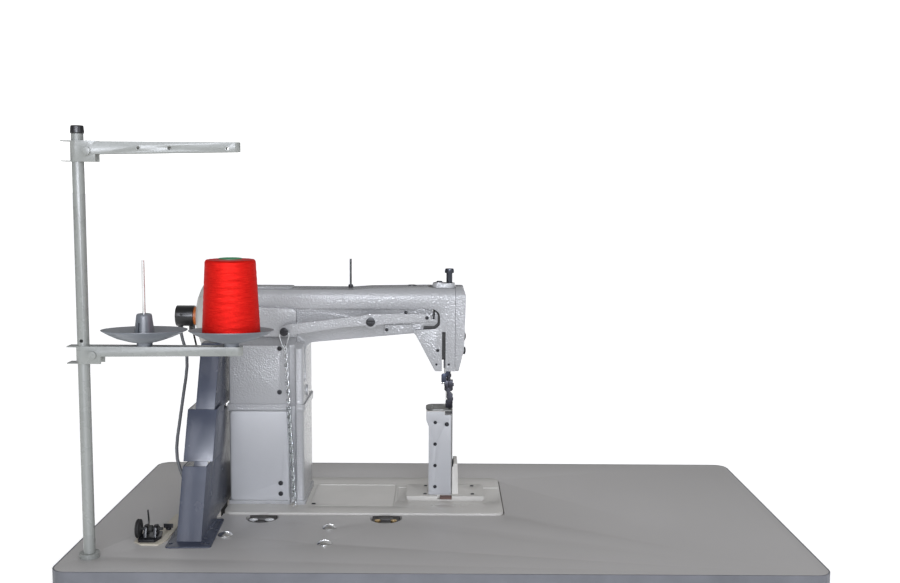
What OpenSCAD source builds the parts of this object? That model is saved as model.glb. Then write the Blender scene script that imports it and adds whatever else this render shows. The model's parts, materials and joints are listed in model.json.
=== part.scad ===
// Post-bed industrial sewing machine, installed in its table top.
// Frame: origin under the middle of the table board, X along the table towards the
// needle end, Y towards the operator, Z up. The side with the thread stand is -Y.

/* [Table] */
// Length of the table board along X
board_l = 1050; // [900:10:1300]
// Width of the table board along Y
board_w = 550; // [500:10:650]
// Thickness of the table board
board_t = 40; // [36:1:50]
// Radius of the board's corners
board_corner_r = 22; // [10:1:40]
// Thickness of the edge band
band_t = 2; // [1:0.5:4]
// Gap between the bed and its cut-out
cutout_gap = 2; // [1:0.5:4]
// Width of the ledges that carry the bed's corners
ledge_w = 24; // [15:1:40]
// Diameter of the motor bolts' domed heads
bolt_head_d = 22; // [16:1:24]
// Diameter of the motor bolts' shanks
bolt_d = 8; // [6:1:10]

/* [Bed] */
// Distance of the machine's centre plane from the table's centre
head_y = 75; // [60:1:90]
// Left end of the bed
bed_x0 = -344; // [-344:1:-330]
// Length of the bed
bed_l = 440; // [425:1:445]
// Distance of the bed's near edge from the machine's centre plane
bed_near = 104; // [96:1:110]
// Distance of the bed's far edge from it
bed_far = 93; // [86:1:98]
// Thickness of the bed plate
bed_t = 10; // [8:1:12]
// Height of the bed's top above the table
bed_rise = 3; // [2:0.5:5]
// Radius of the bed's corners
bed_corner_r = 14; // [8:1:20]
// Depth of the bed's skirt under the plate
skirt_h = 22; // [15:1:26]
// Thickness of the bed cover
bed_cover_t = 3; // [2:0.5:4]

/* [Column and arm] */
// Left side of the column
col_x0 = -342; // [-350:1:-336]
// Throat side of the column
col_x1 = -223; // [-230:1:-215]
// Depth of the column
col_d = 124; // [116:1:130]
// Height of the riser, table to joint
riser_h = 161; // [140:1:180]
// Wall of the castings
wall = 7; // [5:0.5:9]
// Thickness of the cover plates
cover_t = 4; // [3:0.5:5]
// Width of the groove for the lifting chain
groove_w = 10.5; // [10:0.5:14]
// Distance of the groove from the throat side
groove_in = 12.5; // [10:0.5:16]
// Depth of the arm
arm_d = 76; // [70:1:84]
// Height of the arm's top above the table
arm_top = 350; // [345:1:360]
// Height of the head's lower end above the table
head_bottom = 217; // [212:0.5:222]
// Needle end of the arm casting
arm_x1 = 18.3; // [17:0.1:20]
// Thickness of the face plate
face_t = 17.2; // [12:0.1:20]
// Depth of the lever's recess in the arm
recess_d = 8; // [6:0.5:9]

/* [Drive] */
// Height of the main shaft above the table
shaft_z = 300; // [295:1:305]
// Diameter of the main shaft
shaft_d = 14; // [12:0.5:16]
// Diameter of the upright and the lower shaft
lay_shaft_d = 12; // [10:0.5:13]
// Distance of the upright shaft from the machine's left side
upright_in = 52; // [48:1:60]
// Depth of the lower shaft under the table top
lower_shaft_drop = 21; // [20:0.5:22]
// Largest radius of the corner bevel gears
gear_r = 15; // [13:0.5:16]
// Number of teeth of a corner bevel gear
gear_teeth = 18; // [14:1:24]
// Radial clearance of a running shaft
run = 0.05; // [0.02:0.01:0.09]
// Gap between pieces that pass each other
gap = 0.3; // [0.3:0.05:0.6]
// Radius of the handwheel
wheel_r = 66; // [58:1:70]
// Depth of the handwheel from the bearing to its hub's end
wheel_depth = 53.5; // [48:0.5:58]
// Radius of the belt pulley
pulley_r = 38; // [32:1:44]
// Width of the belt
belt_w = 10; // [8:0.5:12]

/* [Needle and presser] */
// Position of the needle along X
needle_x = 4.5; // [3:0.5:5]
// Diameter of the needle bar
needle_bar_d = 7.2; // [6.4:0.1:7.4]
// Position of the presser bar along X
presser_x = 8.6; // [8:0.1:9]
// Distance of the presser bar behind the needle bar
presser_dy = 15; // [14:0.5:17]
// Diameter of the presser bar
presser_bar_d = 6.4; // [6:0.1:7]
// Stroke of the needle bar
needle_stroke = 33; // [28:1:36]
// Lift of the roller foot
presser_lift = 8; // [6:0.5:9]
// Radius of the roller foot
roller_r = 12.5; // [11:0.5:13]
// Radius of the feed wheel
feed_r = 14; // [12:0.5:15]
// Width of the two wheels
roller_w = 3.6; // [3:0.1:3.6]
// Diameter of the needle
needle_d = 1.6; // [1.2:0.1:2]

/* [Lifting lever] */
// Position of the lever's pivot along X
pivot_x = -115.4; // [-120:0.1:-110]
// Height of the lever's pivot above the table
pivot_z = 300; // [298:0.5:302]
// Distance from the pivot to the chain's hook
lever_long = 136; // [130:1:138]
// Distance from the pivot to the lifting link
lever_short = 94; // [90:1:96]
// Thickness of the lever
lever_t = 5; // [4:0.5:6]
// Diameter of the pivot bolt's shank
pivot_d = 7; // [6:0.5:8]
// Pitch of the lifting chain
chain_pitch = 7; // [6:0.5:8]
// Wire size of the lifting chain
chain_wire = 1.4; // [1:0.1:1.5]

/* [Post] */
// Left side of the post
post_x0 = -23.5; // [-25:0.5:-22]
// Right side of the post
post_x1 = 15.4; // [15:0.1:16]
// Depth of the post
post_d = 48; // [44:1:52]
// Height of the post above the table
post_h = 151; // [146:1:156]
// Thickness of the needle plate
needle_plate_t = 2.5; // [2:0.5:3]
// Radius of the rotating hook
hook_r = 13.5; // [12:0.5:14]
// Thickness of the post's foot
foot_t = 5.5; // [5:0.5:9]

/* [Thread stand] */
// Position of the pole along X
pole_x = -488; // [-495:1:-475]
// Position of the pole along Y
pole_y = -217.5; // [-225:0.5:-210]
// Diameter of the pole
pole_d = 16; // [14:0.5:20]
// Height of the pole above the table
pole_h = 580; // [560:5:640]
// Wall of the pole
pole_wall = 1.5; // [1:0.25:2]
// Height of the upper arm's axis above the table
upper_arm_z = 561; // [550:1:568]
// Height of the lower arm's axis above the table
lower_arm_z = 288; // [282:1:300]
// Length of the arms from the pole
arm_l = 216; // [205:1:225]
// Distance of the two spools from the pole
spool_x = [83, 200.5];
// Thickness of the sheet metal of stand and guard
sheet = 1.5; // [1:0.25:2]
// Radius of the spool dishes
dish_r = 57; // [50:1:58]
// Radius of the thread cone's foot
cone_r = 39.5; // [34:0.5:42]
// Height of the thread cone
cone_h = 106; // [95:1:115]

/* [Guard and winder] */
// Left side of the lower belt guard
guard_x0 = -383; // [-384:0.5:-380]
// Width of the lower belt guard
guard_w = 35.5; // [34:0.5:37]
// Lean of the guard away from the front, per unit of height
guard_lean = 0.45; // [0.4:0.01:0.5]
// Radius of the winder's wheel
winder_r = 14; // [12:0.5:15]

/* [Hidden] */
// Z of the table top, and of the bed's top above it
deck = board_t;
bed_x1 = bed_x0 + bed_l;
// The column's half depth, and the face that its covers lie on
col_y1 = col_d / 2;
col_face = col_y1 - cover_t;
arm_y1 = arm_d / 2;
cavity_y0 = -(arm_y1 - recess_d - wall + 1);
cavity_y1 = arm_y1 - wall;
groove_x1 = col_x1 - groove_in;
groove_x0 = groove_x1 - groove_w;
upright_x = col_x0 + upright_in;
lower_z = -lower_shaft_drop;
collar_r = 9;
face_x1 = arm_x1 + face_t;
pulley_x = col_x0 - 14;
wheel_x = needle_x + needle_bar_d / 2 + 0.5;
roller_z = post_h + roller_r + gap * 2;
feed_z = post_h + gap - feed_r;
hook_x = needle_x - hook_r - 1.2;
upright_rib_x = upright_x + 24;
hook_rib_x = hook_x - 30;
hook_z0 = post_h - needle_plate_t - 26;
presser_y = -presser_dy;
lever_y0 = -(col_y1 - cover_t + 4);
lever_end_x = pivot_x - lever_long;
lifter_deg = asin(presser_lift / lever_short);
chain_drop = lever_long * sin(lifter_deg);
chain_y = lever_y0 - 4.4;
chain_x1 = -238;
// Inner top of the wire bail, just above the shank of the lever's hook screw
bail_top = pivot_z - 16 + 6.6 * 0.45 + 0.7;
chain_top = pivot_z - 28;
chain_bottom = chain_drop + 2 - board_t;
cone_z = lower_arm_z + 21.15;
bar_bottom = 186;
// Pin that the lever lifts the presser by, as X and Z, and the plane of its arm
lift_pin_r = 1.6;
lift_pin = [-16, pivot_z + 4.5 + gap + lift_pin_r];
lift_arm_y = cavity_y0 + 0.4;
stand_pin_h = 126;
mix_n = 48;

// Node to build, or all of them

cast_paint = [0.72, 0.71, 0.69];
stand_paint = [0.66, 0.69, 0.66];
guard_paint = [0.42, 0.44, 0.52];
steel = [0.62, 0.62, 0.63];
dark_steel = [0.16, 0.16, 0.17];
black = [0.07, 0.07, 0.08];

// ---- Helpers ----

// Points of an arc that rounds the corner at b, between the corners a and c
function corner(a, b, c, r, n) =
  r <= 0 ? [b] :
  let (u = (a - b) / norm(a - b), v = (c - b) / norm(c - b),
       half = acos(u * v) / 2,
       m = b + (u + v) / norm(u + v) * r / sin(half),
       p = b + u * r / tan(half) - m, q = b + v * r / tan(half) - m,
       a0 = atan2(p.y, p.x),
       turn = (atan2(q.y, q.x) - a0 + 540) % 360 - 180)
  [for (i = [0 : n]) m + r * [cos(a0 + turn * i / n), sin(a0 + turn * i / n)]];

// A closed outline given as [x, y, corner radius]
function rounded(p, n = 5) =
  let (k = len(p))
  [for (i = [0 : k - 1])
    let (a = p[(i + k - 1) % k], b = p[i], c = p[(i + 1) % k])
    each corner([a.x, a.y], [b.x, b.y], [c.x, c.y], b.z, n)];

// A rectangle with rounded corners, given by its low and high corners
function rounded_box(a, b, r, n = 5) =
  rounded([[a.x, a.y, r], [b.x, a.y, r], [b.x, b.y, r], [a.x, b.y, r]], n);

// The machine head's own frame: its centre plane, with Z from the table top
module head() { translate([0, head_y, deck]) children(); }

// The thread stand's frame: the pole's axis, with Z from the table top
module stand() { translate([pole_x, pole_y, deck]) children(); }

// A profile in Y and Z, drawn out along X
module along_x(x0, x1) {
  translate([x0, 0, 0]) rotate([90, 0, 90]) linear_extrude(x1 - x0) children();
}

// A profile in X and Z, drawn out along Y
module along_y(y0, y1) {
  translate([0, y1, 0]) rotate([90, 0, 0]) linear_extrude(y1 - y0) children();
}

// A profile in X and Y, drawn out along Z
module along_z(z0, z1) {
  translate([0, 0, z0]) linear_extrude(z1 - z0) children();
}

module bar_x(x0, x1, r, n = mix_n) {
  translate([x0, 0, 0]) rotate([0, 90, 0]) cylinder(r = r, h = x1 - x0, $fn = n);
}

module bar_y(y0, y1, r, n = mix_n) {
  translate([0, y0, 0]) rotate([-90, 0, 0]) cylinder(r = r, h = y1 - y0, $fn = n);
}

module bar_z(z0, z1, r, n = mix_n) {
  translate([0, 0, z0]) cylinder(r = r, h = z1 - z0, $fn = n);
}

// A round bar between two points
module strut(a, b, r) {
  d = b - a;
  translate(a)
    rotate([0, acos(d.z / norm(d)), atan2(d.y, d.x)])
      cylinder(r = r, h = norm(d), $fn = 24);
}

// A slotted screw head that stands on a -Y face at the origin, with its shank behind
module slotted_screw(r, h, shank) {
  difference() {
    union() {
      bar_y(-h, 0, r, 24);
      if (shank > 0) bar_y(-h * 0.2, shank, r * 0.45, 16);
    }
    translate([-r - 1, -h - 1, -r * 0.14]) cube([2 * r + 2, 1 + h * 0.45, r * 0.28]);
  }
}

// A round head that stands on z = 0, with a domed top
module dome(r, h, rise) {
  ball_r = (r * r + rise * rise) / (2 * rise);
  a = asin(r / ball_r);
  rotate_extrude($fn = mix_n)
    polygon(concat([[0, 0], [r, 0]],
      [for (i = [0 : 5]) ball_r * [sin(a * (1 - i / 5)), cos(a * (1 - i / 5))] + [0, h - ball_r]]));
}

// The hole that a slotted screw's shank goes into
module screw_hole(r, depth) { bar_y(-1, depth, r * 0.45, 16); }

// A bevel gear with its wide face at z = 0; mate is the radius of the gear that it runs with,
// and its teeth end a little inside the cone that the two gears share
module bevel_gear(r, mate, h, bore_r, teeth) {
  body_r = r - 1.4;
  slope = atan2(r, mate);
  difference() {
    union() {
      cylinder(r1 = body_r, r2 = body_r - h * r / mate, h = h, $fn = 36);
      for (i = [0 : teeth - 1])
        rotate([0, 0, i * 360 / teeth])
          translate([body_r, 0, 0])
            rotate([0, -slope, 0])
              translate([-0.6, -r * 1.3 / teeth, 0.4])
                cube([1.4, r * 2.6 / teeth, h / cos(slope) - 1]);
    }
    translate([0, 0, -1]) cylinder(r = bore_r, h = h + 2, $fn = mix_n);
  }
}

// ---- Table ----

module slab(inset, z0, z1) {
  along_z(z0, z1)
    polygon(rounded_box([inset - board_l / 2, inset - board_w / 2],
      [board_l / 2 - inset, board_w / 2 - inset], board_corner_r - inset));
}

// Places of the motor bolts on the table
motor_bolt_at = [[-320, -126], [-171, -91], [-170, -160]];
// Places of the hinges along the bed's near edge
hinge_x = [bed_x0 + 64, bed_x0 + 256];
// Radius of the screws of each hinge
hinge_screw_r = [7, 4.6];
cable_hole = [-395, -15];

module table_board() {
  c = cutout_gap;
  color([0.62, 0.61, 0.61]) difference() {
    slab(band_t, 0, board_t);
    // Cut-out for the bed, with ledges left at its two ends
    translate([0, head_y, 0]) {
      along_z(deck + bed_rise - bed_t, deck + 1)
        polygon(rounded_box([bed_x0 - c, -bed_near - c], [bed_x1 + c, bed_far + c], bed_corner_r));
      along_z(-1, deck)
        polygon(rounded_box([bed_x0 + ledge_w, -bed_near + c], [bed_x1 - ledge_w, bed_far - c], 12));
    }
    // Hinge pockets
    for (x = hinge_x) translate([x, head_y - bed_near - c, deck - 9])
      intersection() {
        translate([0, -13, 0]) cylinder(r = 25, h = 20, $fn = mix_n);
        translate([-26, -40, 0]) cube([52, 46, 20]);
      }
    // Slot for the belt
    along_z(-1, deck + 1)
      polygon(rounded_box([pulley_x - 14, -44], [pulley_x + 12, head_y + pulley_r + 22], 6));
    for (p = motor_bolt_at) translate(p) {
      translate([0, 0, -1]) cylinder(r = bolt_d / 2 + gap, h = board_t + 2, $fn = 24);
      translate([0, 0, -1]) cylinder(r = bolt_head_d / 2 + 3, h = 11, $fn = 24);
    }
    translate([cable_hole.x, cable_hole.y, -1]) cylinder(r = 6, h = board_t + 2, $fn = 24);
    translate([pole_x, pole_y, -1]) cylinder(r = pole_d / 2, h = board_t + 2, $fn = mix_n);
  }
}

module table_edge_band() {
  color([0.32, 0.36, 0.44]) difference() {
    slab(0, 0, board_t);
    slab(band_t, -1, board_t + 1);
  }
}

module motor_bolts() {
  color(steel) for (p = motor_bolt_at) translate([p.x, p.y, 0]) {
    difference() {
      translate([0, 0, deck]) dome(bolt_head_d / 2, 5.6, 4.6);
      translate([0, 0, deck + 5.6]) cube([bolt_head_d * 0.75, 2, 2.6], center = true);
    }
    translate([0, 0, 1]) cylinder(r = bolt_d / 2, h = board_t - 1 + 0.01, $fn = 24);
    translate([0, 0, 2]) cylinder(r = bolt_d * 0.87, h = 6, $fn = 6);
    translate([0, 0, 8]) cylinder(r = bolt_d * 1.1, h = 2, $fn = 24);
  }
}

// Leaf in the table's pocket, knuckle at the bed's edge, and lug under the bed
module bed_hinges() {
  y0 = -bed_near - cutout_gap;
  z0 = -9;
  color([0.45, 0.42, 0.38]) head() for (x = hinge_x) translate([x, 0, 0]) difference() {
    union() {
      along_z(z0, z0 + 3)
        polygon(rounded([[-21.5, y0 - 4, 0], [-22.3, y0 - 21, 14], [-9, y0 - 36, 14],
          [9, y0 - 36, 14], [22.3, y0 - 21, 14], [21.5, y0 - 4, 0],
          [16, -bed_near + 8 - gap, 0], [-16, -bed_near + 8 - gap, 0]], 6));
      // Knuckle, and the raised bar in front of it
      translate([0, y0 - 5, z0 + 4.5]) bar_x(-7.4, 7.4, 3.4);
      translate([-11, y0 - 13, z0]) cube([22, 5, 6]);
    }
    for (s = [-1, 1]) translate([s * 12.5, y0 - 21, z0 - 1]) cylinder(r = 1.9, h = 6, $fn = 16);
    translate([-30, -bed_near - 0.01, bed_rise - bed_t]) cube([60, 30, 20]);
  }
}

// ---- Bed ----

cover_lo = [-215, -69];
cover_hi = [-79, 51];
foot_lo = [-60, -36];
foot_hi = [68, 34];
bed_hole_x = [-15, 19, 30];
cover_screw_at = [[-208, -58]];
// Sides of the shallow channel that the post's foot stands in
channel_y = [-38, 36];

module bed_plate() {
  z1 = bed_rise;
  z0 = bed_rise - bed_t;
  color(cast_paint) head() difference() {
    union() {
      difference() {
        along_z(z0, z1)
          polygon(rounded_box([bed_x0, -bed_near], [bed_x1, bed_far], bed_corner_r));
        along_z(z1 - 1, z1 + 1)
          polygon(rounded_box([cover_hi.x + 4, channel_y[0]], [bed_x1 + 20, channel_y[1]], 1));
      }
      // Raised seat of the post in the channel
      along_z(z1 - 1.01, z1 + 1)
        polygon(rounded_box(foot_lo + [0.5, 0.5], foot_hi - [0.5, 0.5], 4));
      // Skirt and cross ribs
      difference() {
        along_z(z0 - skirt_h, z0)
          polygon(rounded_box([bed_x0 + ledge_w + 4, -bed_near + 8], [bed_x1 - ledge_w - 4, bed_far - 8], 8));
        along_z(z0 - skirt_h - 1, z0 + 1)
          polygon(rounded_box([bed_x0 + ledge_w + 10, -bed_near + 14],
            [bed_x1 - ledge_w - 10, bed_far - 14], 4));
      }
      for (x = [upright_rib_x, hook_rib_x]) translate([x - 6, 0, 0])
        along_x(0, 12)
          polygon([[-16, z0 - skirt_h], [16, z0 - skirt_h], [26, z0 + 0.5], [-26, z0 + 0.5]]);
    }
    // Opening under the bed cover, with its ledge
    along_z(z1 - bed_cover_t, z1 + 1)
      polygon(rounded_box(cover_lo, cover_hi, 4));
    along_z(z0 - 1, z1)
      polygon(rounded_box(cover_lo + [14, 14], cover_hi - [14, 14], 8));
    for (p = cover_screw_at) translate([p.x, p.y, 0]) bar_z(z1 - 8, z1, 1.9, 16);
    // Opening under the post
    translate([hook_x, 0, 0]) bar_z(z0 - 1, z1 + 2, 16.5);
    // Shaft bores
    translate([upright_x, 0, 0]) bar_z(z0 - 8, z1 + 2, lay_shaft_d / 2 + run);
    translate([upright_x, 0, 0]) bar_z(lower_z + gear_r - 7, lower_z + gear_r + 2 * gap, gear_r + 1);
    translate([0, 0, lower_z]) bar_x(upright_x + 10, hook_x - 10, lay_shaft_d / 2 + run);
    // Passage of the lifting chain
    translate([chain_x1, chain_y, 0]) bar_z(z0 - 1, z1 + 2, 5.5);
    for (x = bed_hole_x) translate([x, -61, 0]) bar_z(z1 - 4, z1 + 1, 2.2, 24);
  }
}

module bed_cover() {
  color(cast_paint) head() difference() {
    union() {
      along_z(bed_rise - bed_cover_t, bed_rise)
        polygon(rounded_box(cover_lo + [gap, gap], cover_hi - [gap, gap], 4));
      // Lip along the far edge
      along_z(bed_rise - 0.01, bed_rise + 1.2)
        polygon(rounded_box([cover_lo.x + 3, cover_hi.y - 5], [cover_hi.x - 3, cover_hi.y - 1], 1.5));
    }
    for (p = cover_screw_at) translate([p.x, p.y, 0]) bar_z(bed_rise - 8, bed_rise + 2, 1.9, 16);
  }
}

// ---- Column and arm ----

// Outline of the column in plan; grow widens it all round for the beads
function column_plan(grow) = rounded([
  [col_x0 - grow, -col_face - grow, 3],
  [groove_x0, -col_face - grow, 1], [groove_x0, -col_face + 5, 2],
  [groove_x1, -col_face + 5, 2], [groove_x1, -col_face - 2 - grow, 2],
  [col_x1 + grow, -col_face - 2 - grow, 5],
  [col_x1 + grow, col_face + grow, 16], [col_x0 - grow, col_face + grow, 10]]);

module riser_column() {
  color(cast_paint) head() difference() {
    union() {
      along_z(bed_rise, riser_h) polygon(column_plan(0));
      // Plinth and the bead at the joint
      along_z(bed_rise, bed_rise + 6) polygon(column_plan(2.5));
      along_z(riser_h - 5, riser_h) polygon(column_plan(2.5));
    }
    along_z(bed_rise + 8, riser_h - 10)
      polygon(rounded_box([col_x0 + wall, -col_face + 5 + wall], [col_x1 - wall, col_face - wall], 6));
    // Windows under the two covers
    for (s = [-1, 1]) translate([0, s * col_face, 0]) along_y(-20, 20)
      polygon(rounded_box([col_x0 + 22, 26], [groove_x0 - 16, riser_h - 24], 8));
    translate([upright_x, 0, 0]) {
      bar_z(0, riser_h + 1, lay_shaft_d / 2 + run);
      bar_z(0, bed_rise + 9, collar_r + gap);
    }
    for (s = [-1, 1]) for (p = riser_screws(s)) translate([p.x, s * col_face, p.y])
      rotate([0, 0, s > 0 ? 180 : 0]) screw_hole(3.8, 8);
    // The bore that the upper casting's shaft bearing is trued from
    along_z(riser_h - 11, riser_h + 1) translate([upright_x, 0]) circle(r = 20, $fn = mix_n);
  }
}

// Screws of the covers on the side s, as X and Z; the operator's side has four more
function riser_screws(s) = concat([[-260, 20.8], [-260, 38.2]], s > 0 ? [[-332, 20.8], [-332, 146]] : []);
function column_screws(s) =
  concat([[-259.7, 256.5], [-260.4, 186.4]], s > 0 ? [[-332, 186.4], [-332, 256.5]] : []);

module riser_covers() {
  color(cast_paint) head() for (s = [-1, 1])
    translate([0, s > 0 ? col_face : -col_face - cover_t, 0]) difference() {
      along_y(0, cover_t)
        polygon(rounded_box([col_x0 + 3, bed_rise + 7], [groove_x0 - 1, riser_h - 6], 5));
      for (p = riser_screws(s)) translate([p.x, 0, p.y]) bar_y(-1, cover_t + 1, 2.2, 16);
    }
}

// Side outline of the arm and head, as X, Z and corner radius
function arm_side() = rounded([
  [col_x0, riser_h, 0], [col_x1, riser_h, 0], [col_x1, 261, 14],
  [-45.9, 277.6, 6], [-13.8, head_bottom, 3], [arm_x1, head_bottom, 0],
  [arm_x1, arm_top + 0.5, 0], [-25, arm_top + 1.6, 20], [-120, arm_top - 0.6, 60],
  [-150, arm_top - 3, 60], [col_x0, arm_top - 3, 26]]);

// Recess of the lifting lever
function recess_side() = rounded([
  [groove_x1 - 0.5, 200, 0], [-46, 200, 0], [-46, 283.5, 2], [-13, 286, 8], [-6, 292, 8],
  [-6, 312, 11], [-17, 318, 9], [groove_x1 - 0.5, 318, 0]]);

// Floor of the recess's right end, inside the slot that is cut round it
function recess_floor() = rounded([
  [-60, 289.6, 0], [-15.5, 289.6, 5], [-9.8, 294.5, 5], [-9.8, 309, 8], [-17.5, 317.2, 7], [-60, 317.2, 0]]);

// Hollow of the arm, as X, Z and corner radius
function arm_hollow() = rounded([
  [col_x0 + wall, 268, 0], [-214, 272, 6], [-40, 288, 6], [-7, 231, 3], [arm_x1 + 1, 231, 0],
  [arm_x1 + 1, arm_top - 9, 0], [col_x0 + wall, arm_top - 11, 10]]);

// Pad on the head's top: its left end, its height, and the place of the oil plug
pad_x0 = -18.5;
pad_z = arm_top + 8.4;
oil_x = -7.5;

module arm_shell() {
  color(cast_paint) head() difference() {
    union() {
      // Column, narrowed at the shoulders to the arm's depth
      intersection() {
        along_z(riser_h, 285) polygon(column_plan(0));
        along_x(col_x0 - 1, col_x1 + 1)
          polygon([[-col_y1, riser_h], [col_y1, riser_h], [col_y1, 254], [arm_y1, 272],
            [arm_y1, 290], [-arm_y1, 290], [-arm_y1, 272], [-col_y1, 254]]);
      }
      along_z(riser_h, riser_h + 5) polygon(column_plan(2.5));
      // Arm and head
      intersection() {
        along_y(-arm_y1, arm_y1) polygon(arm_side());
        along_x(col_x0 - 1, arm_x1 + 1)
          polygon(rounded([[-arm_y1, riser_h, 0], [arm_y1, riser_h, 0],
            [arm_y1, arm_top + 2, 17], [-arm_y1, arm_top + 2, 17]], 6));
      }
      // Pad with the bores of the presser screw and of the oil plug
      along_z(arm_top - 8, pad_z)
        polygon(rounded_box([pad_x0, presser_y - 9.6], [arm_x1 - 0.6, presser_y + 9.6], 9, 8));
      translate([oil_x, presser_y, 0]) bar_z(pad_z - 1, pad_z + 1.2, 7);
      // Bearing of the main shaft behind the handwheel
      translate([0, 0, shaft_z]) bar_x(col_x0 - 5, col_x0 + 1, 22);
      // Throat-side boss
      translate([col_x1 - 1, -20, 182]) rotate([0, 90, 0]) cylinder(r = 9, h = 4, $fn = 36);
    }
    // Recess of the lifting lever
    translate([0, -arm_y1, 0]) along_y(-10, recess_d) polygon(recess_side());
    translate([0, -arm_y1, 0]) along_y(recess_d - 1, recess_d + wall) difference() {
      intersection() {
        polygon(recess_side());
        translate([-33, 284]) square([40, 40]);
      }
      polygon(recess_floor());
    }
    // Hollow of the arm and of the column under it
    along_y(cavity_y0, cavity_y1) polygon(arm_hollow());
    along_z(riser_h + 10, 272)
      polygon(rounded_box([col_x0 + wall, cavity_y0], [col_x1 - wall, cavity_y1], 6));
    // Windows under the covers
    for (s = [-1, 1]) translate([0, s * col_face, 0]) along_y(20 - col_face, col_face - 20)
      polygon(rounded_box([col_x0 + 22, riser_h + 20], [groove_x0 - 16, 250], 8));
    // Bearings: main shaft, upright shaft, needle bar, presser bar and its screw
    translate([0, 0, shaft_z]) bar_x(col_x0 - 6, col_x0 + wall + 1, shaft_d / 2 + run);
    translate([upright_x, 0, 0]) bar_z(riser_h - 1, riser_h + 11, lay_shaft_d / 2 + run);
    translate([needle_x, 0, 0]) bar_z(head_bottom - 1, 232, needle_bar_d / 2 + run);
    translate([presser_x, presser_y, 0]) {
      bar_z(head_bottom - 1, 232, presser_bar_d / 2 + run);
      bar_z(arm_top - 12, pad_z + 2, 5 + run);
    }
    translate([oil_x, presser_y, 0]) bar_z(pad_z - 4, pad_z + 4, 3.4, 24);
    // Slot that shows the presser work, open below on both sides
    along_y(-arm_y1 - 1, cavity_y0 + 1)
      polygon(rounded_box([-2.6, head_bottom + 12], [3.2, 281], 1));
    along_y(-arm_y1 - 1, -needle_bar_d / 2 - 4)
      polygon([[-2.6, head_bottom - 1], [3.2, head_bottom - 1], [3.2, 238], [-2.6, 238]]);
    along_y(-needle_bar_d / 2 - 5, arm_y1 + 1)
      polygon([[-2.6, head_bottom - 1], [0, head_bottom - 1], [0, 238], [-2.6, 238]]);
    // Slot of the lifting pin
    along_y(-arm_y1 + recess_d - 1, cavity_y0 + 1)
      polygon(rounded_box([lift_pin.x - 2.2, lift_pin.y - 2], [lift_pin.x + 2.2, lift_pin.y + presser_lift + 2], 2.1));
    // Way of the hand lever through the head's lower wall
    translate([-2.6, hand_y - gap - 0.4, head_bottom - 1])
      cube([12.4, 4.4, hand_pivot.y - head_bottom + 7]);
    translate([hand_pivot.x, 0, hand_pivot.y]) bar_y(hand_y - 5, hand_y, 2 + run, 24);
    // Slot of the take-up lever on the operator's side
    along_y(cavity_y1 - 1, arm_y1 + 1) polygon(rounded_box([-26, 262], [-18, 334], 3.5));
    for (s = [-1, 1]) for (p = column_screws(s)) translate([p.x, s * col_face, p.y])
      rotate([0, 0, s > 0 ? 180 : 0]) screw_hole(3.8, 8);
    for (p = arm_screw_at) translate([p.x, -p.z, p.y]) screw_hole(p[3], 5);
    translate([pivot_x, -arm_y1 + recess_d, pivot_z]) bar_y(-1, 6, pivot_d / 2, 24);
    for (p = plug_at) translate([p.x, p.y, 0]) bar_z(arm_top - 5, arm_top + 9, p.z, 24);
    translate([tension_at.x, 0, tension_at.y]) bar_y(cavity_y1 - 1, arm_y1 + 1, 4, 24);
    translate([dial_at.x, 0, dial_at.y]) bar_y(col_face - wall - 30, col_y1 + 1, 5 + run, 24);
    translate([lever_at.x, 0, lever_at.y]) along_y(col_face - 30, col_y1 + 1)
      polygon(rounded_box([-8, -16], [8, 16], 3));
  }
}

// Web that carries the needle end of the main shaft, and the pins of the two levers
module arm_inside() {
  color(cast_paint) head() {
    difference() {
      intersection() {
        along_y(cavity_y0 - 0.5, cavity_y1 + 0.5) polygon(arm_hollow());
        translate([-44, -50, 250]) cube([10, 100, 110]);
      }
      translate([0, 0, shaft_z]) bar_x(-45, -33, shaft_d / 2 + run);
    }
    translate([take_up_at.x - 12, take_up_at.y - 5, take_up_at.z - 5])
      cube([12 - 4 - gap, cavity_y1 - take_up_at.y + 5.5, 10]);
    translate([0, take_up_at.y, take_up_at.z]) bar_x(take_up_at.x - 9, take_up_at.x + 5, 2, 24);
    translate([0, col_face - 14, lever_at.y]) bar_x(lever_at.x - 5.5 - 5, lever_at.x + 5.5 + 5, 2, 24);
  }
}

module arm_casting() {
  arm_shell();
  arm_inside();
}

// Screws on the arm: X, Z, depth of the face from the centre plane, head radius
arm_screw_at = [[-61, 311.5, 30, 2.8], [-9.4, 251, 38, 2.6], [-11.3, 228.2, 38, 1.9], [8.5, 228.3, 38, 1.9]];
// Plugs on the arm's top: X, Y and radius
plug_at = [[-52.6, 17, 7], [-23.7, 17, 2.6], [-154, 17, 1.8]];
tension_at = [-58, 306];
dial_at = [-296, 225];
lever_at = [-250, 205];

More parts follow.
